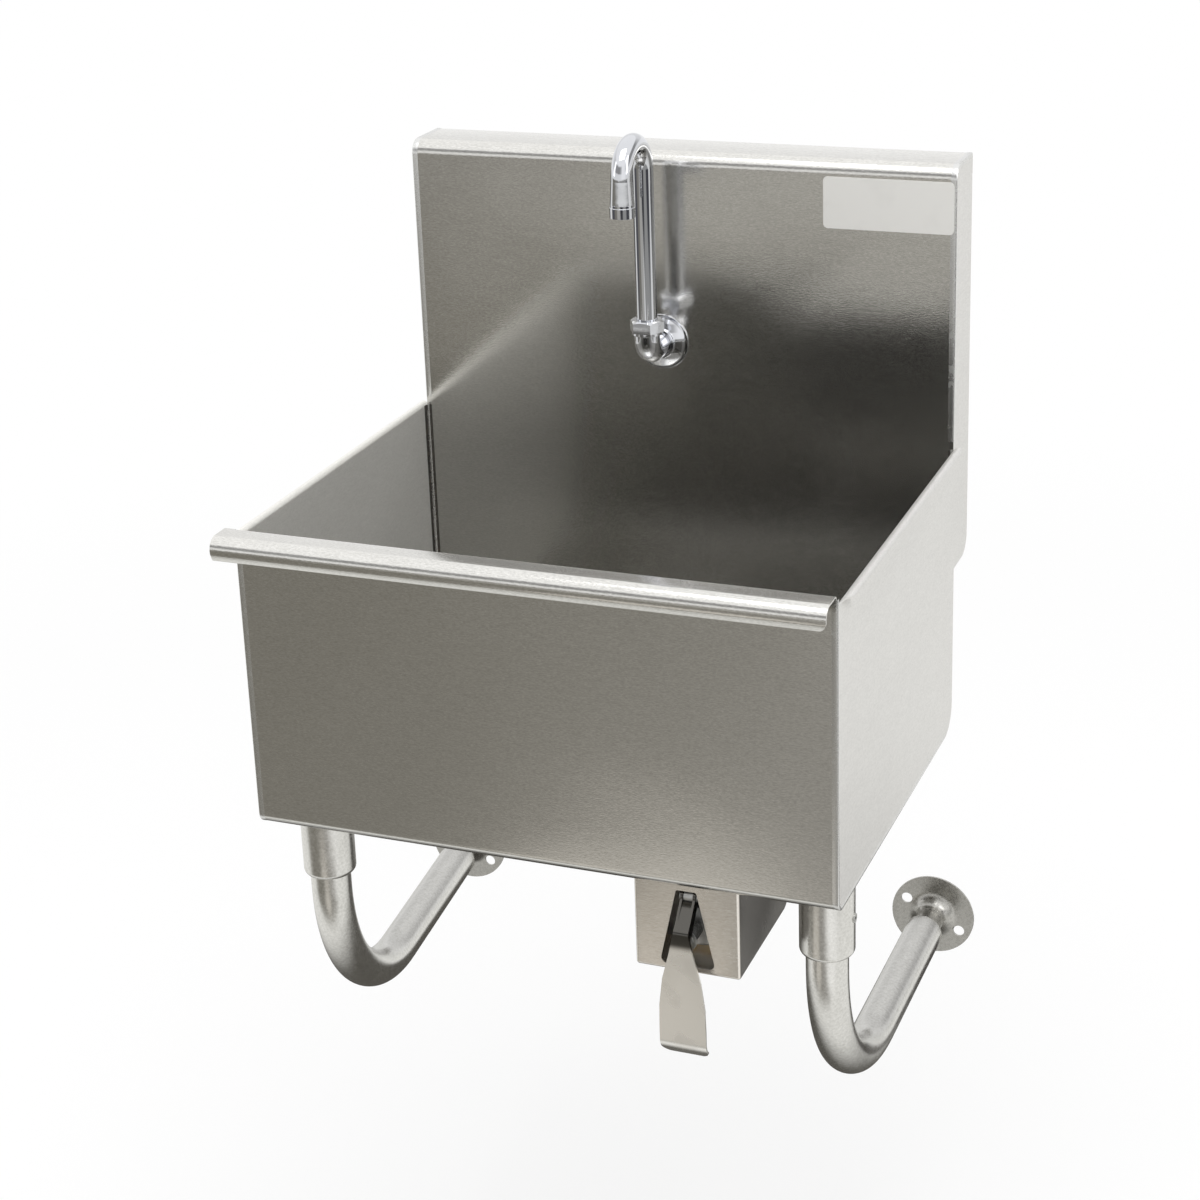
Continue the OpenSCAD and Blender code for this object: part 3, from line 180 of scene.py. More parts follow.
def makeGrainGroup():
    group, entry, leave = newGroup(
        "brushedGrain",
        [("Stretch", "NodeSocketVector", (3, 500, 500)), ("Clouds", "NodeSocketFloat", 6.0)],
        [("Streak", "NodeSocketFloat"), ("Broad", "NodeSocketFloat"), ("Cloud", "NodeSocketFloat")],
    )
    place = addNode(group, "ShaderNodeTexCoord", (-900, 300)).outputs["Object"]
    fine = addNode(group, "ShaderNodeVectorMath", (-600, 300), operation="MULTIPLY")
    feed(group, fine, 0, place)
    feed(group, fine, 1, entry.outputs["Stretch"])
    streak = addNode(group, "ShaderNodeTexNoise", (-350, 300))
    feed(group, streak, "Vector", fine.outputs[0])
    feed(group, streak, "Scale", 1.0)
    feed(group, streak, "Detail", 2.0)
    feed(group, streak, "Roughness", 0.5)
    wide = addNode(group, "ShaderNodeVectorMath", (-600, 0), operation="SCALE")
    feed(group, wide, 0, fine.outputs[0])
    feed(group, wide, "Scale", broadScale)
    broad = addNode(group, "ShaderNodeTexNoise", (-350, 0))
    feed(group, broad, "Vector", wide.outputs[0])
    feed(group, broad, "Scale", 1.0)
    feed(group, broad, "Detail", 2.0)
    cloud = addNode(group, "ShaderNodeTexNoise", (-350, -300))
    feed(group, cloud, "Vector", place)
    feed(group, cloud, "Scale", entry.outputs["Clouds"])
    feed(group, cloud, "Detail", 1.0)
    feed(group, leave, "Streak", streak.outputs[0])
    feed(group, leave, "Broad", broad.outputs[0])
    feed(group, leave, "Cloud", cloud.outputs[0])
    return group


# Small marks of handling: a value that is 0 on clean metal and 1 in a smudge

smudgeFrom, smudgeFull = 0.5, 0.75  # of the noise that lays the marks
speckScale = 900.0


def makeSmudgeGroup():
    group, entry, leave = newGroup(
        "handlingMarks",
        [("Size", "NodeSocketFloat", 20.0), ("Amount", "NodeSocketFloat", 0.4)],
        [("Mark", "NodeSocketFloat"), ("Speck", "NodeSocketFloat")],
    )
    place = addNode(group, "ShaderNodeTexCoord", (-900, 300)).outputs["Object"]
    patch = addNode(group, "ShaderNodeTexNoise", (-600, 300))
    feed(group, patch, "Vector", place)
    feed(group, patch, "Scale", entry.outputs["Size"])
    feed(group, patch, "Detail", 2.0)
    shaped = shareOfRange(group, patch.outputs[0], smudgeFrom, smudgeFull, (-350, 300))
    mark = doMath(group, "MULTIPLY", (shaped, entry.outputs["Amount"]), (0, 300), True)
    speck = addNode(group, "ShaderNodeTexNoise", (-600, -100))
    feed(group, speck, "Vector", place)
    feed(group, speck, "Scale", speckScale)
    feed(group, leave, "Mark", mark)
    feed(group, leave, "Speck", speck.outputs[0])
    return group


# Share is where the colour takes painted shade: 0 above the basin's rim and on every outer face, and
# 1 well below the rim inside.
# Splash is the height on the splash over the basin's floor, in metres, and 0 elsewhere.

insideBasin = {  # mm
    "skin": 0.7,
    "above": 80,  # over the panels' tops, where the shade begins
    "below": 40,
    "splashFrom": 60,  # in front of the returns, where the splash's height begins to count
    "splashFull": 15,
}


def makeInsideGroup(spec):
    group, entry, leave = newGroup(
        "insideBasin", [], [("Share", "NodeSocketFloat"), ("Splash", "NodeSocketFloat")]
    )
    low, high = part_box("end_panel_left")[0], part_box("end_panel_right")[1]
    skin = spec["skin"] * mm
    parts = addNode(group, "ShaderNodeSeparateXYZ", (-700, 0))
    feed(group, parts, 0, addNode(group, "ShaderNodeTexCoord", (-900, 0)).outputs["Object"])
    side = doMath(group, "ABSOLUTE", (parts.outputs["X"],), (-500, 200))
    between = doMath(group, "LESS_THAN", (side, high.x - skin), (-300, 200))
    behind = doMath(group, "GREATER_THAN", (parts.outputs["Y"], low.y + skin), (-300, 0))
    shaded = (high.z + spec["above"] * mm, high.z - spec["below"] * mm)
    depth = shareOfRange(group, parts.outputs["Z"], *shaded, (-300, -200))
    both = doMath(group, "MULTIPLY", (between, behind), (-100, 100))
    feed(group, leave, "Share", doMath(group, "MULTIPLY", (both, depth), (100, 0)))
    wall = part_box("splash_return_right")[0].y
    counted = (wall - spec["splashFrom"] * mm, wall - spec["splashFull"] * mm)
    atBack = shareOfRange(group, parts.outputs["Y"], *counted, (-300, -400))
    climb = doMath(group, "SUBTRACT", (parts.outputs["Z"], low.z), (-300, -600))
    feed(group, leave, "Splash", doMath(group, "MULTIPLY", (climb, atBack), (100, -500)))
    return group


# Painted shade: Shade is what is kept of the colour on faces that turn toward a direction, and with
# Back at minus one also on those that turn away from it


def makeFacingGroup():
    group, entry, leave = newGroup(
        "facingShade",
        [
            ("Direction", "NodeSocketVector", (0, 0, 1)), ("Back", "NodeSocketFloat", 0.0),
            ("Begin", "NodeSocketFloat", 0.3), ("Full", "NodeSocketFloat", 0.8),
            ("Kept", "NodeSocketFloat", 0.7),
        ],
        [("Shade", "NodeSocketFloat")],
    )
    toward = addNode(group, "ShaderNodeVectorMath", (-600, 0), operation="DOT_PRODUCT")
    feed(group, toward, 0, addNode(group, "ShaderNodeTexCoord", (-800, 0)).outputs["Normal"])
    feed(group, toward, 1, entry.outputs["Direction"])
    turned = toward.outputs["Value"]
    away = doMath(group, "MULTIPLY", (turned, entry.outputs["Back"]), (-400, -100))
    turned = doMath(group, "MAXIMUM", (turned, away), (-200, 0))
    share = shareOfRange(group, turned, entry.outputs["Begin"], entry.outputs["Full"], (0, 0))
    lost = doMath(group, "SUBTRACT", (entry.outputs["Kept"], 1.0), (0, -200))
    feed(group, leave, "Shade", doMath(group, "MULTIPLY_ADD", (share, lost, 1.0), (200, 0)))
    return group


grainGroup = makeGrainGroup()
smudgeGroup = makeSmudgeGroup()
insideGroup = makeInsideGroup(insideBasin)
facingGroup = makeFacingGroup()


def startMaterial(name):
    material = bpy.data.materials.new(name)
    material.use_nodes = True
    tree = material.node_tree
    tree.nodes.clear()
    shader = addNode(tree, "ShaderNodeBsdfPrincipled", (600, 0))
    out = addNode(tree, "ShaderNodeOutputMaterial", (900, 0))
    tree.links.new(shader.outputs[0], out.inputs["Surface"])
    return material, tree, shader


grainDepth = 0.2 * mm


def grainedMetal(name, spec):
    material, tree, shader = startMaterial(name)
    grain = useGroup(tree, grainGroup, (-700, 200), Stretch=spec["stretch"], Clouds=spec["cloudSize"])
    marks = useGroup(tree, smudgeGroup, (-700, -200), Size=spec["markSize"], Amount=spec["marks"])
    fine, broad, cloud = (grain.outputs[label] for label in ("Streak", "Broad", "Cloud"))
    half = doMath(tree, "MULTIPLY", (fine, spec["fineShare"]), (-450, 400))
    both = doMath(tree, "MULTIPLY_ADD", (broad, 1 - spec["fineShare"], half), (-300, 300))
    sharp = addNode(tree, "ShaderNodeMapRange", (-120, 300))
    feed(tree, sharp, "Value", both)
    feed(tree, sharp, "From Min", spec["streaksFrom"])
    feed(tree, sharp, "From Max", spec["streaksTo"])
    dark, light = (*spec["dark"], 1), (*spec["light"], 1)
    colour = blendColours(tree, sharp.outputs[0], dark, light, (100, 300))
    change = spec["cloudChange"]
    clouded = doMath(tree, "MULTIPLY_ADD", (cloud, change, 1 - change / 2), (100, 100))
    colour = blendColours(tree, 1.0, colour, clouded, (300, 250), "MULTIPLY")
    # Painted shade: the colour darkens deep inside the basin, below the rim
    if spec["paintedInsideShade"] < 1:
        paintedInsideShade = useGroup(tree, insideGroup, (100, 600))
        share = paintedInsideShade.outputs["Share"]
        dulled = doMath(tree, "MULTIPLY_ADD", (share, spec["paintedInsideShade"] - 1, 1.0), (300, 600))
        colour = blendColours(tree, 1.0, colour, dulled, (450, 350), "MULTIPLY")
    # Painted shade: the colour darkens on faces turned toward a direction
    if spec["facing"]:
        shade = useGroup(tree, facingGroup, (450, 800), **spec["facing"]).outputs["Shade"]
        colour = blendColours(tree, 1.0, colour, shade, (700, 500), "MULTIPLY")
    feed(tree, shader, "Base Color", colour)
    feed(tree, shader, "Metallic", spec["metallic"])
    rough = doMath(tree, "MULTIPLY_ADD", (both, spec["roughSpread"], spec["roughness"]), (100, 0))
    mark = marks.outputs["Mark"]
    rough = doMath(tree, "MULTIPLY_ADD", (mark, spec["dulled"], rough), (300, 0), True)
    feed(tree, shader, "Roughness", rough)
    wave = addNode(tree, "ShaderNodeBump", (100, -300))
    height = doMath(tree, "MULTIPLY", (cloud, spec["wave"]), (-150, -300))
    if spec["lean"]:
        splash = useGroup(tree, insideGroup, (-350, -450)).outputs["Splash"]
        height = doMath(tree, "MULTIPLY_ADD", (splash, spec["lean"], height), (0, -400))
    feed(tree, wave, "Strength", 1.0)
    feed(tree, wave, "Distance", 1.0)
    feed(tree, wave, "Height", height)
    bump = addNode(tree, "ShaderNodeBump", (350, -300))
    feed(tree, bump, "Strength", spec["bump"])
    feed(tree, bump, "Distance", grainDepth)
    feed(tree, bump, "Height", both)
    feed(tree, bump, "Normal", wave.outputs[0])
    feed(tree, shader, "Normal", bump.outputs[0])
    return material


# Plain, plated and moulded finishes share one recipe: a colour with a slow change over it,
# and handling marks that dull the gloss


def evenFinish(name, spec):
    material, tree, shader = startMaterial(name)
    marks = useGroup(tree, smudgeGroup, (-700, 0), Size=spec["markSize"], Amount=spec["marks"])
    mark = marks.outputs["Mark"]
    colour = blendColours(tree, mark, (*spec["light"], 1), (*spec["dark"], 1), (0, 300))
    rough = doMath(tree, "MULTIPLY_ADD", (mark, spec["roughSpread"], spec["roughness"]), (0, 0), True)
    # Painted shade: above a height the colour turns dark
    if "upper" in spec:
        parts = addNode(tree, "ShaderNodeSeparateXYZ", (-500, 600))
        feed(tree, parts, 0, addNode(tree, "ShaderNodeTexCoord", (-700, 600)).outputs["Object"])
        share = shareOfRange(tree, parts.outputs["Z"], *spec["upperFrom"], (-300, 600))
        colour = blendColours(tree, share, colour, (*spec["upper"], 1), (200, 300))
        polish = -spec["upperPolish"] * spec["roughness"]
        rough = doMath(tree, "MULTIPLY_ADD", (share, polish, rough), (200, 0), True)
    feed(tree, shader, "Base Color", colour)
    feed(tree, shader, "Metallic", spec["metallic"])
    feed(tree, shader, "Roughness", rough)
    bump = addNode(tree, "ShaderNodeBump", (300, -300))
    feed(tree, bump, "Strength", spec["bump"])
    feed(tree, bump, "Distance", grainDepth)
    feed(tree, bump, "Height", marks.outputs["Speck"])
    feed(tree, shader, "Normal", bump.outputs[0])
    return material


# Stretch squeezes the grain across its run: a small number along it, large ones across. The inside
# value is what is left of the colour deep in the basin under painted shade, and lean tips the
# splash's reflections.

grainDefaults = {
    "fineShare": 0.8,  # of the streaks, and the broad ones are the rest
    "streaksFrom": 0.3,  # of their noise, where the colour is darkest
    "streaksTo": 0.7,
    "cloudChange": 0.1,  # share of the colour
    "markSize": 30, "marks": 0.6, "bump": 0.15, "wave": 0.0001, "dulled": 0.08,
    "paintedInsideShade": 1.0, "lean": 0, "metallic": 1.0, "facing": None,
}

grainedFinishes = {
    "sheetAcross": {
        "dark": (0.68, 0.67, 0.64), "light": (0.86, 0.85, 0.82),
        "stretch": (320, 1200, 1200), "cloudSize": 5, "markSize": 9, "marks": 0.35,
        "roughness": 0.12, "roughSpread": 0.08, "bump": 0.25, "wave": 0.0032,
        "paintedInsideShade": 0.66, "lean": 0.052,
    },
    "sheetInward": {
        "dark": (0.74, 0.73, 0.71), "light": (0.87, 0.86, 0.84),
        "stretch": (1200, 320, 1200), "cloudSize": 5, "markSize": 9, "marks": 0.35,
        "roughness": 0.42, "roughSpread": 0.1, "bump": 0.25, "wave": 0.0008, "metallic": 0.84,
    },
    # Painted light: a lighter copy of sheetInward, for the left panel's inner face
    "panelLeft": {
        "dark": (0.85, 0.84, 0.80), "light": (0.97, 0.96, 0.92),
        "stretch": (1200, 320, 1200), "cloudSize": 5, "markSize": 9, "marks": 0.35,
        "roughness": 0.42, "roughSpread": 0.1, "bump": 0.25, "wave": 0.0008, "metallic": 0.72,
    },
    "shroudSheet": {
        "dark": (0.84, 0.79, 0.73), "light": (0.96, 0.92, 0.86),
        "stretch": (260, 1100, 1100), "cloudSize": 8, "markSize": 18, "marks": 0.4,
        "roughness": 0.2, "roughSpread": 0.1, "bump": 0.2, "wave": 0.0004,
        # painted shade darkens both sides of the shroud
        "facing": {"Direction": (1, 0, 0), "Back": -1.0, "Begin": 0.75, "Full": 0.97, "Kept": 0.22},
    },
    "tubeSatin": {
        "dark": (0.70, 0.69, 0.66), "light": (0.86, 0.85, 0.82),
        "stretch": (420, 420, 420), "cloudSize": 14, "markSize": 25, "marks": 0.5,
        "roughness": 0.14, "roughSpread": 0.14, "bump": 0.16,
        # painted shade darkens the tubes' upward faces
        "facing": {"Direction": (0, 0, 1), "Back": 0.0, "Begin": 0.25, "Full": 0.75, "Kept": 0.7},
    },
    "flangeSatin": {
        "dark": (0.42, 0.41, 0.385), "light": (0.60, 0.59, 0.56),
        "stretch": (420, 420, 420), "cloudSize": 14, "markSize": 25, "marks": 0.5,
        "roughness": 0.2, "roughSpread": 0.14, "bump": 0.16, "wave": 0.0003,
    },
    "plainSteel": {
        "dark": (0.48, 0.48, 0.47), "light": (0.66, 0.66, 0.64),
        "stretch": (120, 160, 160), "cloudSize": 20,
        "roughness": 0.30, "roughSpread": 0.15, "bump": 0.12,
    },
    "machinedBrass": {
        "dark": (0.40, 0.29, 0.13), "light": (0.62, 0.48, 0.26),
        "stretch": (400, 60, 400), "cloudSize": 25, "roughness": 0.26, "roughSpread": 0.2,
    },
}

evenFinishes = {
    "groundWeld": {
        "light": (0.78, 0.78, 0.77), "dark": (0.65, 0.65, 0.63), "metallic": 1.0, "roughness": 0.24,
        "roughSpread": 0.2, "markSize": 150, "marks": 0.6, "bump": 0.2,
    },
    # painted shade: the dark strips beside the inner welds
    "paintedWeldShade": {
        "light": (0.14, 0.13, 0.12), "dark": (0.22, 0.19, 0.15), "metallic": 1.0, "roughness": 0.5,
        "roughSpread": 0.2, "markSize": 120, "marks": 0.8, "bump": 0.3,
    },
    "platedChrome": {
        "light": (0.70, 0.71, 0.74), "dark": (0.60, 0.61, 0.64), "metallic": 1.0, "roughness": 0.05,
        "roughSpread": 0.12, "markSize": 45, "marks": 0.35, "bump": 0.01,
    },
    "polishedSteel": {
        "light": (0.95, 0.93, 0.89), "dark": (0.84, 0.81, 0.76), "metallic": 1.0, "roughness": 0.26,
        "roughSpread": 0.14, "markSize": 40, "marks": 0.5, "bump": 0.03,
    },
    # pedalSteel's dark upper arm is painted shade
    "pedalSteel": {  # the arm darkens where it goes into the shroud
        "light": (0.95, 0.93, 0.89), "dark": (0.84, 0.81, 0.76), "metallic": 1.0, "roughness": 0.26,
        "roughSpread": 0.14, "markSize": 40, "marks": 0.5, "bump": 0.03,
        "upper": (0.12, 0.115, 0.105),
        "upperFrom": [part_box("valve_shroud")[0].z + height * mm for height in (27, 34)],
        "upperPolish": 0.7,  # share of the roughness that the arm loses
    },
    "blackRubber": {
        "light": (0.03, 0.03, 0.03), "dark": (0.06, 0.06, 0.058), "metallic": 0.0, "roughness": 0.55,
        "roughSpread": 0.25, "markSize": 90, "marks": 0.6, "bump": 0.3,
    },
    "whitePlastic": {
        "light": (0.80, 0.80, 0.78), "dark": (0.68, 0.68, 0.65), "metallic": 0.0, "roughness": 0.42,
        "roughSpread": 0.15, "markSize": 80, "marks": 0.5, "bump": 0.1,
    },
    "labelFilm": {
        "light": (0.82, 0.81, 0.78), "dark": (0.76, 0.75, 0.72), "metallic": 0.2, "roughness": 0.38,
        "roughSpread": 0.12, "markSize": 35, "marks": 0.5, "bump": 0.05,
    },
}

finishes = {
    name: grainedMetal(name, {**grainDefaults, **spec}) for name, spec in grainedFinishes.items()
}
finishes.update({name: evenFinish(name, spec) for name, spec in evenFinishes.items()})
print("the finishes are built")

# Every node's finish

nodeFinish = {
    "sheetAcross": ["bowl_sheet"],
    "panelLeft": ["end_panel_left"],
    "sheetInward": ["end_panel_right", "splash_return_left", "splash_return_right"],
    "shroudSheet": ["valve_shroud"],
    "tubeSatin": [
        "leg_socket_left", "leg_socket_right", "leg_tube_left", "leg_tube_right",
    ],
    "flangeSatin": ["leg_flange_left", "leg_flange_right"],
    "plainSteel": [
        "wall_hanger", "hanger_clip", "drain_locknut", "shroud_studs", "shroud_nuts", "valve_bracket",
        "valve_bonnet", "valve_stem", "return_spring", "spring_washer", "stem_clip", "pivot_pin",
        "pivot_clip", "socket_screws",
    ],
    "machinedBrass": [
        "shank_locknut", "valve_body", "disc_screw", "inlet_nipple_hot", "inlet_nipple_cold",
        "outlet_nipple",
    ],
    "platedChrome": [
        "tailpiece", "slip_nut", "faucet_flange", "faucet_elbow", "spout_nut", "spout_tube",
        "aerator_shell",
    ],
    "polishedSteel": ["drain_body", "drain_strainer", "strainer_knob"],
    "pedalSteel": ["knee_pedal"],
    "blackRubber": ["drain_gasket", "shank_washer", "spout_oring", "stem_seal", "seat_disc"],
    "whitePlastic": ["spout_washer", "aerator_insert"],
    "labelFilm": ["blank_label"],
}
finishOf = {node: finish for finish, names in nodeFinish.items() for node in names}

for name, thing in nodes.items():
    thing.data.materials.clear()
    thing.data.materials.append(finishes[finishOf[name]])

# Pieces whose sharp sheet edges are broken: each stands for its node, with the bevel's width in mm

edgeSoftness = {
    "bowl_sheet": 0.45, "end_panel_left": 0.45, "end_panel_right": 0.45,
    "splash_return_left": 0.4, "splash_return_right": 0.4, "valve_shroud": 0.4,
    "knee_pedal": 0.5, "blank_label": 0.15, "wall_hanger": 0.4, "hanger_clip": 0.4,
    "leg_socket_left": 0.8, "leg_socket_right": 0.8, "leg_flange_left": 0.7, "leg_flange_right": 0.7,
    "leg_tube_left": 0.3, "leg_tube_right": 0.3, "spout_nut": 0.5, "faucet_flange": 0.4,
    "faucet_elbow": 0.3, "aerator_shell": 0.7, "valve_bracket": 0.4, "valve_body": 0.6,
    "valve_bonnet": 0.4, "inlet_nipple_hot": 0.4, "inlet_nipple_cold": 0.4, "outlet_nipple": 0.4,
    "slip_nut": 0.6, "shank_locknut": 0.5, "tailpiece": 0.3, "drain_body": 0.4, "drain_locknut": 0.5,
    "drain_strainer": 0.2, "strainer_knob": 0.5, "socket_screws": 0.4, "shroud_nuts": 0.25,
    "shroud_studs": 0.3, "pivot_pin": 0.3, "spring_washer": 0.2,
}
sideRadius = {"valve_shroud": 2.6}  # mm, for the folds along both sides
sharpFrom = math.radians(32)
mergeReach = 0.002 * mm
flatUnder = math.radians(0.4)


def camelName(node):
    words = node.split("_")
    return words[0] + "".join(word.capitalize() for word in words[1:])


def markSharp(bm):
    for face in bm.faces:
        face.smooth = True
    for edge in bm.edges:
        edge.smooth = len(edge.link_faces) == 2 and edge.calc_face_angle(0) < sharpFrom


def addPiece(name, bm, finish, body):
    mesh = bpy.data.meshes.new(name)
    bm.to_mesh(mesh)
    bm.free()
    mesh.materials.append(finishes[finish])
    piece = bpy.data.objects.new(name, mesh)
    bpy.context.scene.collection.objects.link(piece)
    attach(piece, body)
    return piece


def mergedCopy(node):
    bm = bmesh.new()
    bm.from_mesh(nodes[node].data)
    bmesh.ops.remove_doubles(bm, verts=bm.verts, dist=mergeReach)
    bmesh.ops.dissolve_limit(
        bm, angle_limit=flatUnder, use_dissolve_boundaries=False, verts=bm.verts, edges=bm.edges
    )
    return bm


# The folds along both sides of a box, apart from its open top and back


def roundSides(bm, node, radius):
    low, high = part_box(node)
    reach, openTop, foldFrom = 0.1 * mm, 3 * mm, math.radians(60)

    def isFold(edge):
        first, second = (vert.co for vert in edge.verts)
        middle = (first + second) / 2
        onSide = any(max(abs(first.x - x), abs(second.x - x)) < reach for x in (low.x, high.x))
        closed = middle.z < high.z - openTop and middle.y < high.y - reach
        return onSide and closed and len(edge.link_faces) == 2 and edge.calc_face_angle(0) > foldFrom

    chosen = [edge for edge in bm.edges if isFold(edge)]
    print(node, "has", len(chosen), "rounded folds")
    bmesh.ops.bevel(
        bm, geom=chosen, offset=radius, segments=5, profile=0.5, affect="EDGES", material=-1,
        clamp_overlap=False,
    )


def softenEdges(node, width):
    bm = mergedCopy(node)
    if node in sideRadius:
        roundSides(bm, node, sideRadius[node] * mm)
    markSharp(bm)
    piece = addPiece(camelName(node), bm, finishOf[node], nodes[node]["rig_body"])
    bevel = piece.modifiers.new("brokenEdge", "BEVEL")
    bevel.width = width * mm
    bevel.segments = 2
    bevel.limit_method = "ANGLE"
    bevel.angle_limit = sharpFrom
    bevel.use_clamp_overlap = True
    bevel.harden_normals = True
    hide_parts(node)
    return piece


for node, width in edgeSoftness.items():
    softenEdges(node, width)
print("the edges are broken")

# The return spring: a merged copy of its node, smoothly shaded and held on the root body


def makeSpring(node):
    bm = mergedCopy(node)
    markSharp(bm)
    piece = addPiece(camelName(node), bm, finishOf[node], "root")
    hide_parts(node)
    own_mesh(piece)


makeSpring("return_spring")

# Sweeps: a ring of edges is pushed along a run or swung round a bend, then closed at both ends


def closedRing(bm, corners):
    verts = [bm.verts.new(corner) for corner in corners]
    return [bm.edges.new((verts[i - 1], verts[i])) for i in range(len(verts))]


def ringOf(verts, edges):
    chosen = set(verts)
    return [edge for edge in edges if edge.verts[0] in chosen and edge.verts[1] in chosen]


def pushRing(bm, edges, step):
    geom = bmesh.ops.extrude_edge_only(bm, edges=edges)["geom"]
    verts = [item for item in geom if isinstance(item, bmesh.types.BMVert)]
    bmesh.ops.translate(bm, vec=step, verts=verts)
    return ringOf(verts, [item for item in geom if isinstance(item, bmesh.types.BMEdge)])


def swingRing(bm, edges, centre, axis, degrees, steps, rise=(0, 0, 0)):
    verts = list({vert for edge in edges for vert in edge.verts})
    geom = bmesh.ops.spin(
        bm, geom=verts + edges, cent=centre, axis=axis, dvec=rise, angle=math.radians(degrees),
        steps=steps, use_merge=False, use_duplicate=False,
    )["geom_last"]
    verts = [item for item in geom if isinstance(item, bmesh.types.BMVert)]
    return ringOf(verts, [item for item in geom if isinstance(item, bmesh.types.BMEdge)])


def closeSweep(bm):
    bmesh.ops.holes_fill(bm, edges=[edge for edge in bm.edges if len(edge.link_faces) == 1], sides=0)
    bmesh.ops.recalc_face_normals(bm, faces=bm.faces)
    markSharp(bm)


# Ground weld seams along the edges where the end panels and the returns are joined on

basin = {  # mm, as in the solids
    "sheet": 1.5,
    "depth": 265,
    "hemDrop": 5.3,  # of the panels' hems under the rim's top
    "floorFall": 6.5,
    "floorRun": 364.5,
}
sheet = basin["sheet"] * mm
panelLow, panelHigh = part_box("end_panel_right")
bowlLow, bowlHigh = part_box("bowl_sheet")
returnLow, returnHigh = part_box("splash_return_right")
splashFace = returnLow.y - sheet
rimTop = panelHigh.z + basin["hemDrop"] * mm
basinDeep = basin["depth"] * mm
floorSlope = math.atan(basin["floorFall"] / basin["floorRun"])

seam = {
    "across": 5.0,  # mm of the bead on the folded sheet
    "turn": 3.0,  # mm of it round the corner
    "proud": 0.4,
    "frontBend": 10,  # radii of the folded sheet's bends
    "backCove": 25,
    "topBend": 12.5,
    "underLip": 3,  # from the rim's top down to the bead's
    "wallGap": 2,  # left between the bead's end and the wall
    "bendSteps": 8,
}


# The bead's section: out runs past the panel's face, and back runs along it


def seamRing(bm, x, y, z, side):
    across, turn, proud = seam["across"] * mm, seam["turn"] * mm, seam["proud"] * mm
    sunk, flush = 0.2 * mm, 0.02 * mm
    outline = [
        (-across, sunk), (-across, -flush), (-across * 0.65, -proud * 0.7), (-across * 0.3, -proud),
        (-across * 0.08, -proud * 0.7), (proud * 0.6, turn * 0.08), (proud * 0.9, turn * 0.35),
        (proud * 0.6, turn * 0.7), (flush, turn), (-sunk, turn), (-sunk, sunk),
    ]
    return closedRing(bm, [(side * (x + out), y + back, z) for out, back in outline])


def makePanelSeam(side, label):
    bm = bmesh.new()
    bend, cove = seam["frontBend"] * mm, seam["backCove"] * mm
    front = panelLow.y
    top = rimTop - seam["underLip"] * mm
    frontFloor = rimTop - basinDeep
    ring = seamRing(bm, panelLow.x + sheet, front, top, side)
    ring = pushRing(bm, ring, (0, 0, frontFloor + bend - top))
    ring = swingRing(
        bm, ring, (0, front + bend, frontFloor + bend), (1, 0, 0), 90 - math.degrees(floorSlope),
        seam["bendSteps"],
    )
    length = splashFace - cove - front - bend
    pushRing(bm, ring, (0, length, -length * math.tan(floorSlope)))
    closeSweep(bm)
    addPiece("panelSeam" + label, bm, "groundWeld", "root")


def makeReturnSeam(side, label):
    bm = bmesh.new()
    bend = seam["topBend"] * mm
    ring = seamRing(bm, returnHigh.x, splashFace, rimTop, side)
    ring = pushRing(bm, ring, (0, 0, bowlHigh.z - bend - rimTop))
    ring = swingRing(
        bm, ring, (0, splashFace + bend, bowlHigh.z - bend), (1, 0, 0), -90, seam["bendSteps"]
    )
    pushRing(bm, ring, (0, -splashFace - bend - seam["wallGap"] * mm, 0))
    closeSweep(bm)
    addPiece("returnSeam" + label, bm, "groundWeld", "root")


# Welds in the basin's inner corners: a thin bright bead on dark strips of painted shade

innerWeld = {  # mm
    "bead": 1.9,
    "in": 0.6,
    "tint": 4.5,
    "thin": 0.06,
    "below": 8,  # from the rim's top
    "above": 30,  # over the floor
}


def makeInnerWeld(side, label):
    top = rimTop - innerWeld["below"] * mm
    low = rimTop - basinDeep + innerWeld["above"] * mm
    x, z = side * panelLow.x, (top + low) / 2
    radius, inward = innerWeld["bead"] * mm, innerWeld["in"] * mm
    tint, thin = innerWeld["tint"] * mm, innerWeld["thin"] * mm
    bm = bmesh.new()
    bmesh.ops.create_cone(
        bm, cap_ends=True, segments=10, radius1=radius, radius2=radius, depth=top - low,
        matrix=Matrix.Translation((x - side * inward, splashFace - inward, z)),
    )
    markSharp(bm)
    addPiece("backWeldBead" + label, bm, "groundWeld", "root")
    # Painted shade: dark strips on both faces beside the bead
    bm = bmesh.new()
    for place, size in (
        ((x - side * tint / 2, splashFace, z), (tint, thin * 2, top - low, 1)),
        ((x, splashFace - tint / 2, z), (thin, tint * 2, top - low, 1)),
    ):
        strip = Matrix.Translation(place) @ Matrix.Diagonal(size)
        bmesh.ops.create_cube(bm, size=1.0, matrix=strip)
    markSharp(bm)
    addPiece("backWeldPaintedShade" + label, bm, "paintedWeldShade", "root")


for side, label in ((-1, "Left"), (1, "Right")):
    makePanelSeam(side, label)
    makeReturnSeam(side, label)
    makeInnerWeld(side, label)
print("the seams are laid")

# Threads: a small ridge wound round a shaft that runs along Y

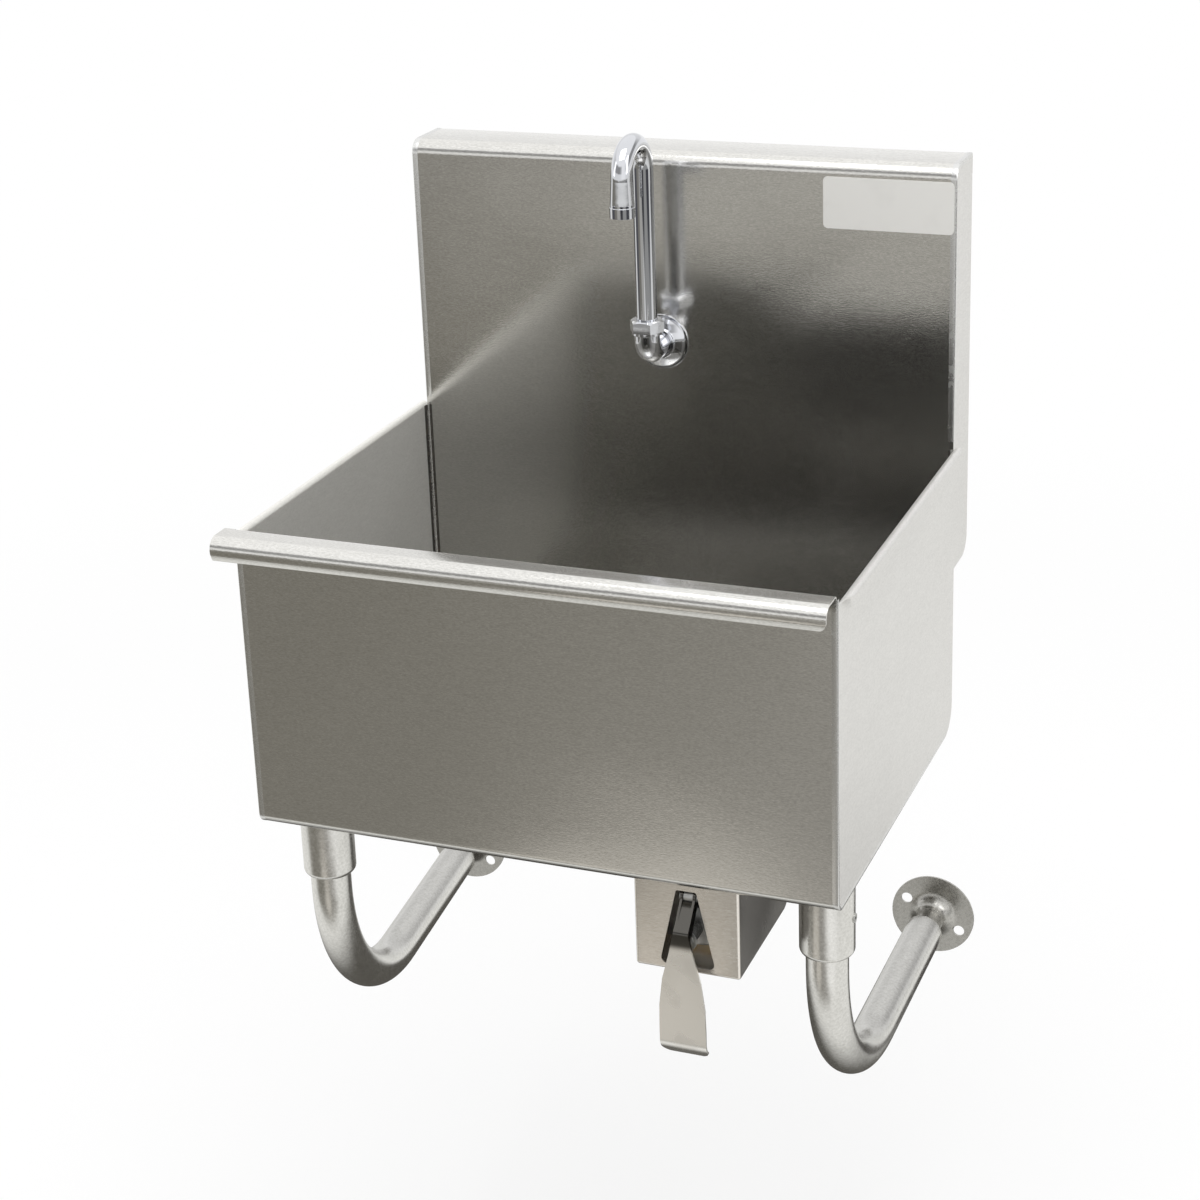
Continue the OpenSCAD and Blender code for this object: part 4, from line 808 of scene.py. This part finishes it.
pipeThread = {
    "start": -15, "radius": 7.1, "pitch": 1.4, "turns": 10, "height": 0.4,
    "finish": "machinedBrass", "slot": "brass",
}
threads = {  # mm, with the start counted from the node's back end
    "shankThread": {
        "node": "shank_locknut", "start": 3, "radius": 10, "pitch": 1.8, "turns": 11, "height": 0.5,
        "finish": "platedChrome", "slot": "chrome",
    },
    "hotInletThread": {"node": "inlet_nipple_hot", **pipeThread},
    "coldInletThread": {"node": "inlet_nipple_cold", **pipeThread},
    "outletThread": {"node": "outlet_nipple", **pipeThread},
}
threadRidge = {
    "steps": 28,  # round one turn
    "halfWidth": 0.42,  # share of the pitch
    "sunk": 0.1,  # mm of its foot in the shaft
}


def makeThread(name, spec):
    low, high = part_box(spec["node"])
    middle = (low + high) / 2
    x, y, z = middle.x, high.y + spec["start"] * mm, middle.z
    radius, pitch = spec["radius"] * mm, spec["pitch"] * mm
    half, steps = pitch * threadRidge["halfWidth"], threadRidge["steps"]
    foot, crest = z + radius - threadRidge["sunk"] * mm, z + radius + spec["height"] * mm
    bm = bmesh.new()
    ring = closedRing(bm, [(x, y - half, foot), (x, y, crest), (x, y + half, foot)])
    for turn in range(spec["turns"]):
        centre = (x, y + turn * pitch, z)
        ring = swingRing(bm, ring, centre, (0, 1, 0), 360, steps, (0, pitch / steps, 0))
    closeSweep(bm)
    addPiece(name, bm, spec["finish"], "root")


for name, spec in threads.items():
    makeThread(name, spec)
print("the threads are cut")

# Fillet welds round the leg sockets, under the basin

socketWeld = {
    "bead": 2.0,  # mm, the bead's own radius
    "merge": 0.01,
    "sides": 8,
    "steps": 48,
}


def makeSocketWeld(node, name):
    low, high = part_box(node)
    mid = (low + high) / 2
    radius = (high.x - low.x) / 2
    bead = socketWeld["bead"] * mm
    bm = bmesh.new()
    corners = [
        (mid.x + radius + bead * math.cos(turn), mid.y, mid.z + bead * math.sin(turn))
        for turn in (2 * math.pi * i / socketWeld["sides"] for i in range(socketWeld["sides"]))
    ]
    ring = closedRing(bm, corners)
    bmesh.ops.spin(
        bm, geom=list(bm.verts) + ring, cent=(mid.x, mid.y, mid.z), axis=(0, 0, 1),
        angle=2 * math.pi, steps=socketWeld["steps"], use_merge=True, use_duplicate=False,
    )
    bmesh.ops.remove_doubles(bm, verts=bm.verts, dist=socketWeld["merge"] * mm)
    top = rimTop - basinDeep - (mid.y - panelLow.y) * math.tan(floorSlope)
    bmesh.ops.rotate(bm, cent=mid, verts=bm.verts, matrix=Matrix.Rotation(-floorSlope, 3, "X"))
    bmesh.ops.translate(bm, vec=(0, 0, top - mid.z), verts=bm.verts)
    bmesh.ops.recalc_face_normals(bm, faces=bm.faces)
    markSharp(bm)
    addPiece(name, bm, "groundWeld", "root")


makeSocketWeld("leg_socket_left", "socketWeldLeft")
makeSocketWeld("leg_socket_right", "socketWeldRight")
print("the sockets are welded")

# A pale floor and soft studio light. In reflections the floor shows the studio's darker side to
# the front left, a light strip to the front right, the shade under the sink and white paper
# elsewhere, and a dark band runs round the front of the low sky.

studio = {
    "floorHeight": -1.05,  # metres
    "floorSize": 24,
    "floorColour": (0.80, 0.80, 0.79),
    "floorSeen": (0.94, 0.94, 0.94),  # the same paper where the camera sees it
    "shadow": 0.55,  # share of that paper, which holds the sink's shadow, in the floor near it
    "shadowReach": (1.6, 2.8),  # metres from the middle over which the floor turns to plain white
    "slant": -0.25,  # how far the bands of the front floor lean to the left as they run forward
    "slantFrom": 1.2,
    "bandReach": 1.5,  # metres to each side that the bands cover
    "bands": [  # metres to the right, and what the floor shows there
        (-1.5, (0.22, 0.21, 0.185)), (-0.8, (0.215, 0.205, 0.18)), (-0.2, (0.27, 0.26, 0.235)),
        (0.3, (0.34, 0.33, 0.31)), (0.56, (1.0, 1.0, 0.99)), (1.0, (0.98, 0.98, 0.97)),
        (1.25, (0.42, 0.42, 0.40)), (1.5, (0.34, 0.34, 0.33)),
    ],
    "nearPaper": (0.84, 0.84, 0.82),
    "near": (-0.92, -0.66),  # metres along Y over which the bands give way to the nearer paper
    "paper": (0.86, 0.86, 0.84),
    "behind": (-0.1, 0.5),  # metres along Y over which that gives way to the paper behind
    "far": (9.0, 11.0),  # metres from the middle over which all of it turns to paper
    "spots": [  # place, reach and colour of the patches that polished metal mirrors
        ((-2.9, -6.6), 3.6, (0.26, 0.25, 0.23)), ((-0.9, -4.2), 1.5, (0.46, 0.45, 0.42)),
        ((-4.2, -2.0), 1.6, (0.10, 0.10, 0.11)),
        ((1.1, -5.2), 1.6, (0.05, 0.05, 0.055)), ((4.9, -2.0), 1.9, (0.06, 0.06, 0.07)),
        # the two dark patches nearest the middle, at (-0.15, 0.17) and (0.42, 0.62), are painted
        # shade of the sink
        ((4.2, 3.6), 1.7, (0.12, 0.12, 0.14)), ((-0.15, 0.17), 0.84, (0.10, 0.095, 0.085)),
        ((0.42, 0.62), 0.36, (0.06, 0.055, 0.05)), ((-0.22, -1.14), 0.28, (0.66, 0.63, 0.58)),
    ],
    "round": [  # degrees from straight ahead toward the right, and the light of the dark band there
        (-180, 0.80), (-110, 0.85), (-75, 0.6), (-50, 0.35), (-25, 0.3), (0, 0.3), (15, 0.5),
        (28, 0.95), (55, 0.9), (70, 0.3), (135, 0.3), (160, 0.75), (180, 0.80),
    ],
    "bandLow": (0.15, 0.21),  # sines of the heights over which the dark band begins and ends
    "bandHigh": (0.46, 0.56),
    "sky": 0.95,
    "horizon": 0.75,  # share of the bright sky in the sky below the band
    "gain": 1.12,
}


def addRamp(tree, along, steps, place):
    made = addNode(tree, "ShaderNodeValToRGB", place)
    feed(tree, made, 0, along)
    stops = made.color_ramp.elements
    while len(stops) < len(steps):
        stops.new(0.5)
    for stop, (position, colour) in zip(stops, steps):
        stop.position = position
        stop.color = (*colour, 1)
    return made.outputs["Color"]


def makeFloor(spec):
    bm = bmesh.new()
    bmesh.ops.create_grid(bm, x_segments=1, y_segments=1, size=spec["floorSize"] / 2)
    bmesh.ops.translate(bm, vec=(0, 0, spec["floorHeight"]), verts=bm.verts)
    mesh = bpy.data.meshes.new("studioFloor")
    bm.to_mesh(mesh)
    bm.free()
    floor = bpy.data.objects.new("studioFloor", mesh)
    bpy.context.scene.collection.objects.link(floor)
    material = bpy.data.materials.new("floorPaper")
    material.use_nodes = True
    material.cycles.emission_sampling = "NONE"
    tree = material.node_tree
    tree.nodes.clear()
    out = addNode(tree, "ShaderNodeOutputMaterial", (1500, 0))
    path = addNode(tree, "ShaderNodeLightPath", (600, 400))
    place = addNode(tree, "ShaderNodeTexCoord", (-1200, 0)).outputs["Object"]
    parts = addNode(tree, "ShaderNodeSeparateXYZ", (-1000, 0))
    feed(tree, parts, 0, place)
    forward = doMath(tree, "ADD", (parts.outputs["Y"], spec["slantFrom"]), (-800, -100))
    across = doMath(tree, "MULTIPLY_ADD", (forward, spec["slant"], parts.outputs["X"]), (-600, 0))
    wide = 2 * spec["bandReach"]
    along = doMath(tree, "MULTIPLY_ADD", (across, 1 / wide, 0.5), (-400, 0), True)
    bands = [(offset / wide + 0.5, band) for offset, band in spec["bands"]]
    colour = addRamp(tree, along, bands, (-200, 0))
    away = addNode(tree, "ShaderNodeVectorMath", (-600, -300), operation="LENGTH")
    feed(tree, away, 0, place)
    fromSink = away.outputs["Value"]
    for value, part, sheetColour in (
        (parts.outputs["Y"], "near", "nearPaper"), (parts.outputs["Y"], "behind", "paper"),
        (fromSink, "far", "paper"),
    ):
        share = shareOfRange(tree, value, *spec[part], (-200, -300))
        colour = blendColours(tree, share, colour, (*spec[sheetColour], 1))
    for i, (centre, reach, patch) in enumerate(spec["spots"]):
        away = addNode(tree, "ShaderNodeVectorMath", (-200, -500 - 150 * i), operation="DISTANCE")
        feed(tree, away, 0, place)
        feed(tree, away, 1, (*centre, spec["floorHeight"]))
        share = shareOfRange(tree, away.outputs["Value"], reach, reach / 2, (0, -500 - 150 * i))
        colour = blendColours(tree, share, colour, (*patch, 1), (250 + 150 * i, 0))
    onCamera, mirrored = path.outputs["Is Camera Ray"], path.outputs["Is Glossy Ray"]
    colour = blendColours(tree, onCamera, colour, (1, 1, 1, 1), (1050, 200))
    glow = addNode(tree, "ShaderNodeEmission", (1200, 100))
    feed(tree, glow, "Color", colour)
    paper = addNode(tree, "ShaderNodeBsdfDiffuse", (1200, -100))
    plain, seen = (*spec["floorColour"], 1), (*spec["floorSeen"], 1)
    feed(tree, paper, "Color", blendColours(tree, onCamera, plain, seen, (1050, -200)))
    shadeless = shareOfRange(tree, fromSink, *spec["shadowReach"], (600, 600))
    held = spec["shadow"]
    shadeless = doMath(tree, "MULTIPLY_ADD", (shadeless, held, 1 - held), (750, 600))
    white = doMath(tree, "MULTIPLY", (onCamera, shadeless), (900, 600))
    glowing = doMath(tree, "MAXIMUM", (white, mirrored), (1050, 400))
    pick = addNode(tree, "ShaderNodeMixShader", (1350, 0))
    feed(tree, pick, 0, glowing)
    tree.links.new(paper.outputs[0], pick.inputs[1])
    tree.links.new(glow.outputs[0], pick.inputs[2])
    tree.links.new(pick.outputs[0], out.inputs["Surface"])
    mesh.materials.append(material)


def makeWorld(spec):
    world = bpy.data.worlds.new("studioWorld")
    bpy.context.scene.world = world
    world.use_nodes = True
    tree = world.node_tree
    tree.nodes.clear()
    out = addNode(tree, "ShaderNodeOutputWorld", (900, 0))
    path = addNode(tree, "ShaderNodeLightPath", (300, 300))
    direction = addNode(tree, "ShaderNodeTexCoord", (-900, 0)).outputs["Generated"]
    parts = addNode(tree, "ShaderNodeSeparateXYZ", (-700, 0))
    feed(tree, parts, 0, direction)
    ahead = doMath(tree, "MULTIPLY", (parts.outputs["Y"], -1.0), (-500, -100))
    turn = doMath(tree, "ARCTAN2", (parts.outputs["X"], ahead), (-350, 0))
    along = doMath(tree, "MULTIPLY_ADD", (turn, 0.5 / math.pi, 0.5), (-200, 0), True)
    steps = [(degrees / 360 + 0.5, (light,) * 3) for degrees, light in spec["round"]]
    ramp = addRamp(tree, along, steps, (-50, 0))
    rise = shareOfRange(tree, parts.outputs["Z"], *spec["bandHigh"], (-200, 250))
    sink = shareOfRange(tree, parts.outputs["Z"], *spec["bandLow"][::-1], (-200, 450))
    sink = doMath(tree, "MULTIPLY", (sink, spec["horizon"]), (-50, 450))
    lit = doMath(tree, "MAXIMUM", (rise, sink), (100, 350))
    colour = blendColours(tree, lit, ramp, (*(spec["sky"],) * 3, 1), (250, 0))
    strength = addNode(tree, "ShaderNodeMix", (500, 200), data_type="FLOAT")
    feed(tree, strength, 0, path.outputs["Is Camera Ray"])
    feed(tree, strength, 2, spec["gain"])
    feed(tree, strength, 3, 1.0)
    colour = blendColours(tree, path.outputs["Is Camera Ray"], colour, (1, 1, 1, 1), (500, 0))
    back = addNode(tree, "ShaderNodeBackground", (700, 0))
    feed(tree, back, "Color", colour)
    feed(tree, back, "Strength", strength.outputs[0])
    tree.links.new(back.outputs[0], out.inputs["Surface"])


lamps = {  # metres and watts
    "softboxTop": {
        "place": (0.2, -0.9, 1.9), "aim": (0, -0.2, -0.2), "size": (1.6, 1.2), "power": 10,
    },
    "softboxRight": {
        "place": (2.2, -0.6, 0.9), "aim": (0, -0.3, -0.3), "size": (0.9, 1.6), "power": 8,
    },
    "softboxLeft": {
        "place": (-2.1, -1.3, 0.7), "aim": (0, -0.3, -0.3), "size": (0.7, 1.4), "power": 4,
    },
}


def makeLamp(name, spec):
    data = bpy.data.lights.new(name, "AREA")
    data.shape = "RECTANGLE"
    data.size, data.size_y = spec["size"]
    data.energy = spec["power"]
    lamp = bpy.data.objects.new(name, data)
    place = Vector(spec["place"])
    lamp.location = place
    lamp.rotation_mode = "QUATERNION"
    lamp.rotation_quaternion = (Vector(spec["aim"]) - place).to_track_quat("-Z", "Y")
    bpy.context.scene.collection.objects.link(lamp)


makeFloor(studio)
makeWorld(studio)
for name, spec in lamps.items():
    makeLamp(name, spec)
print("the studio is lit")
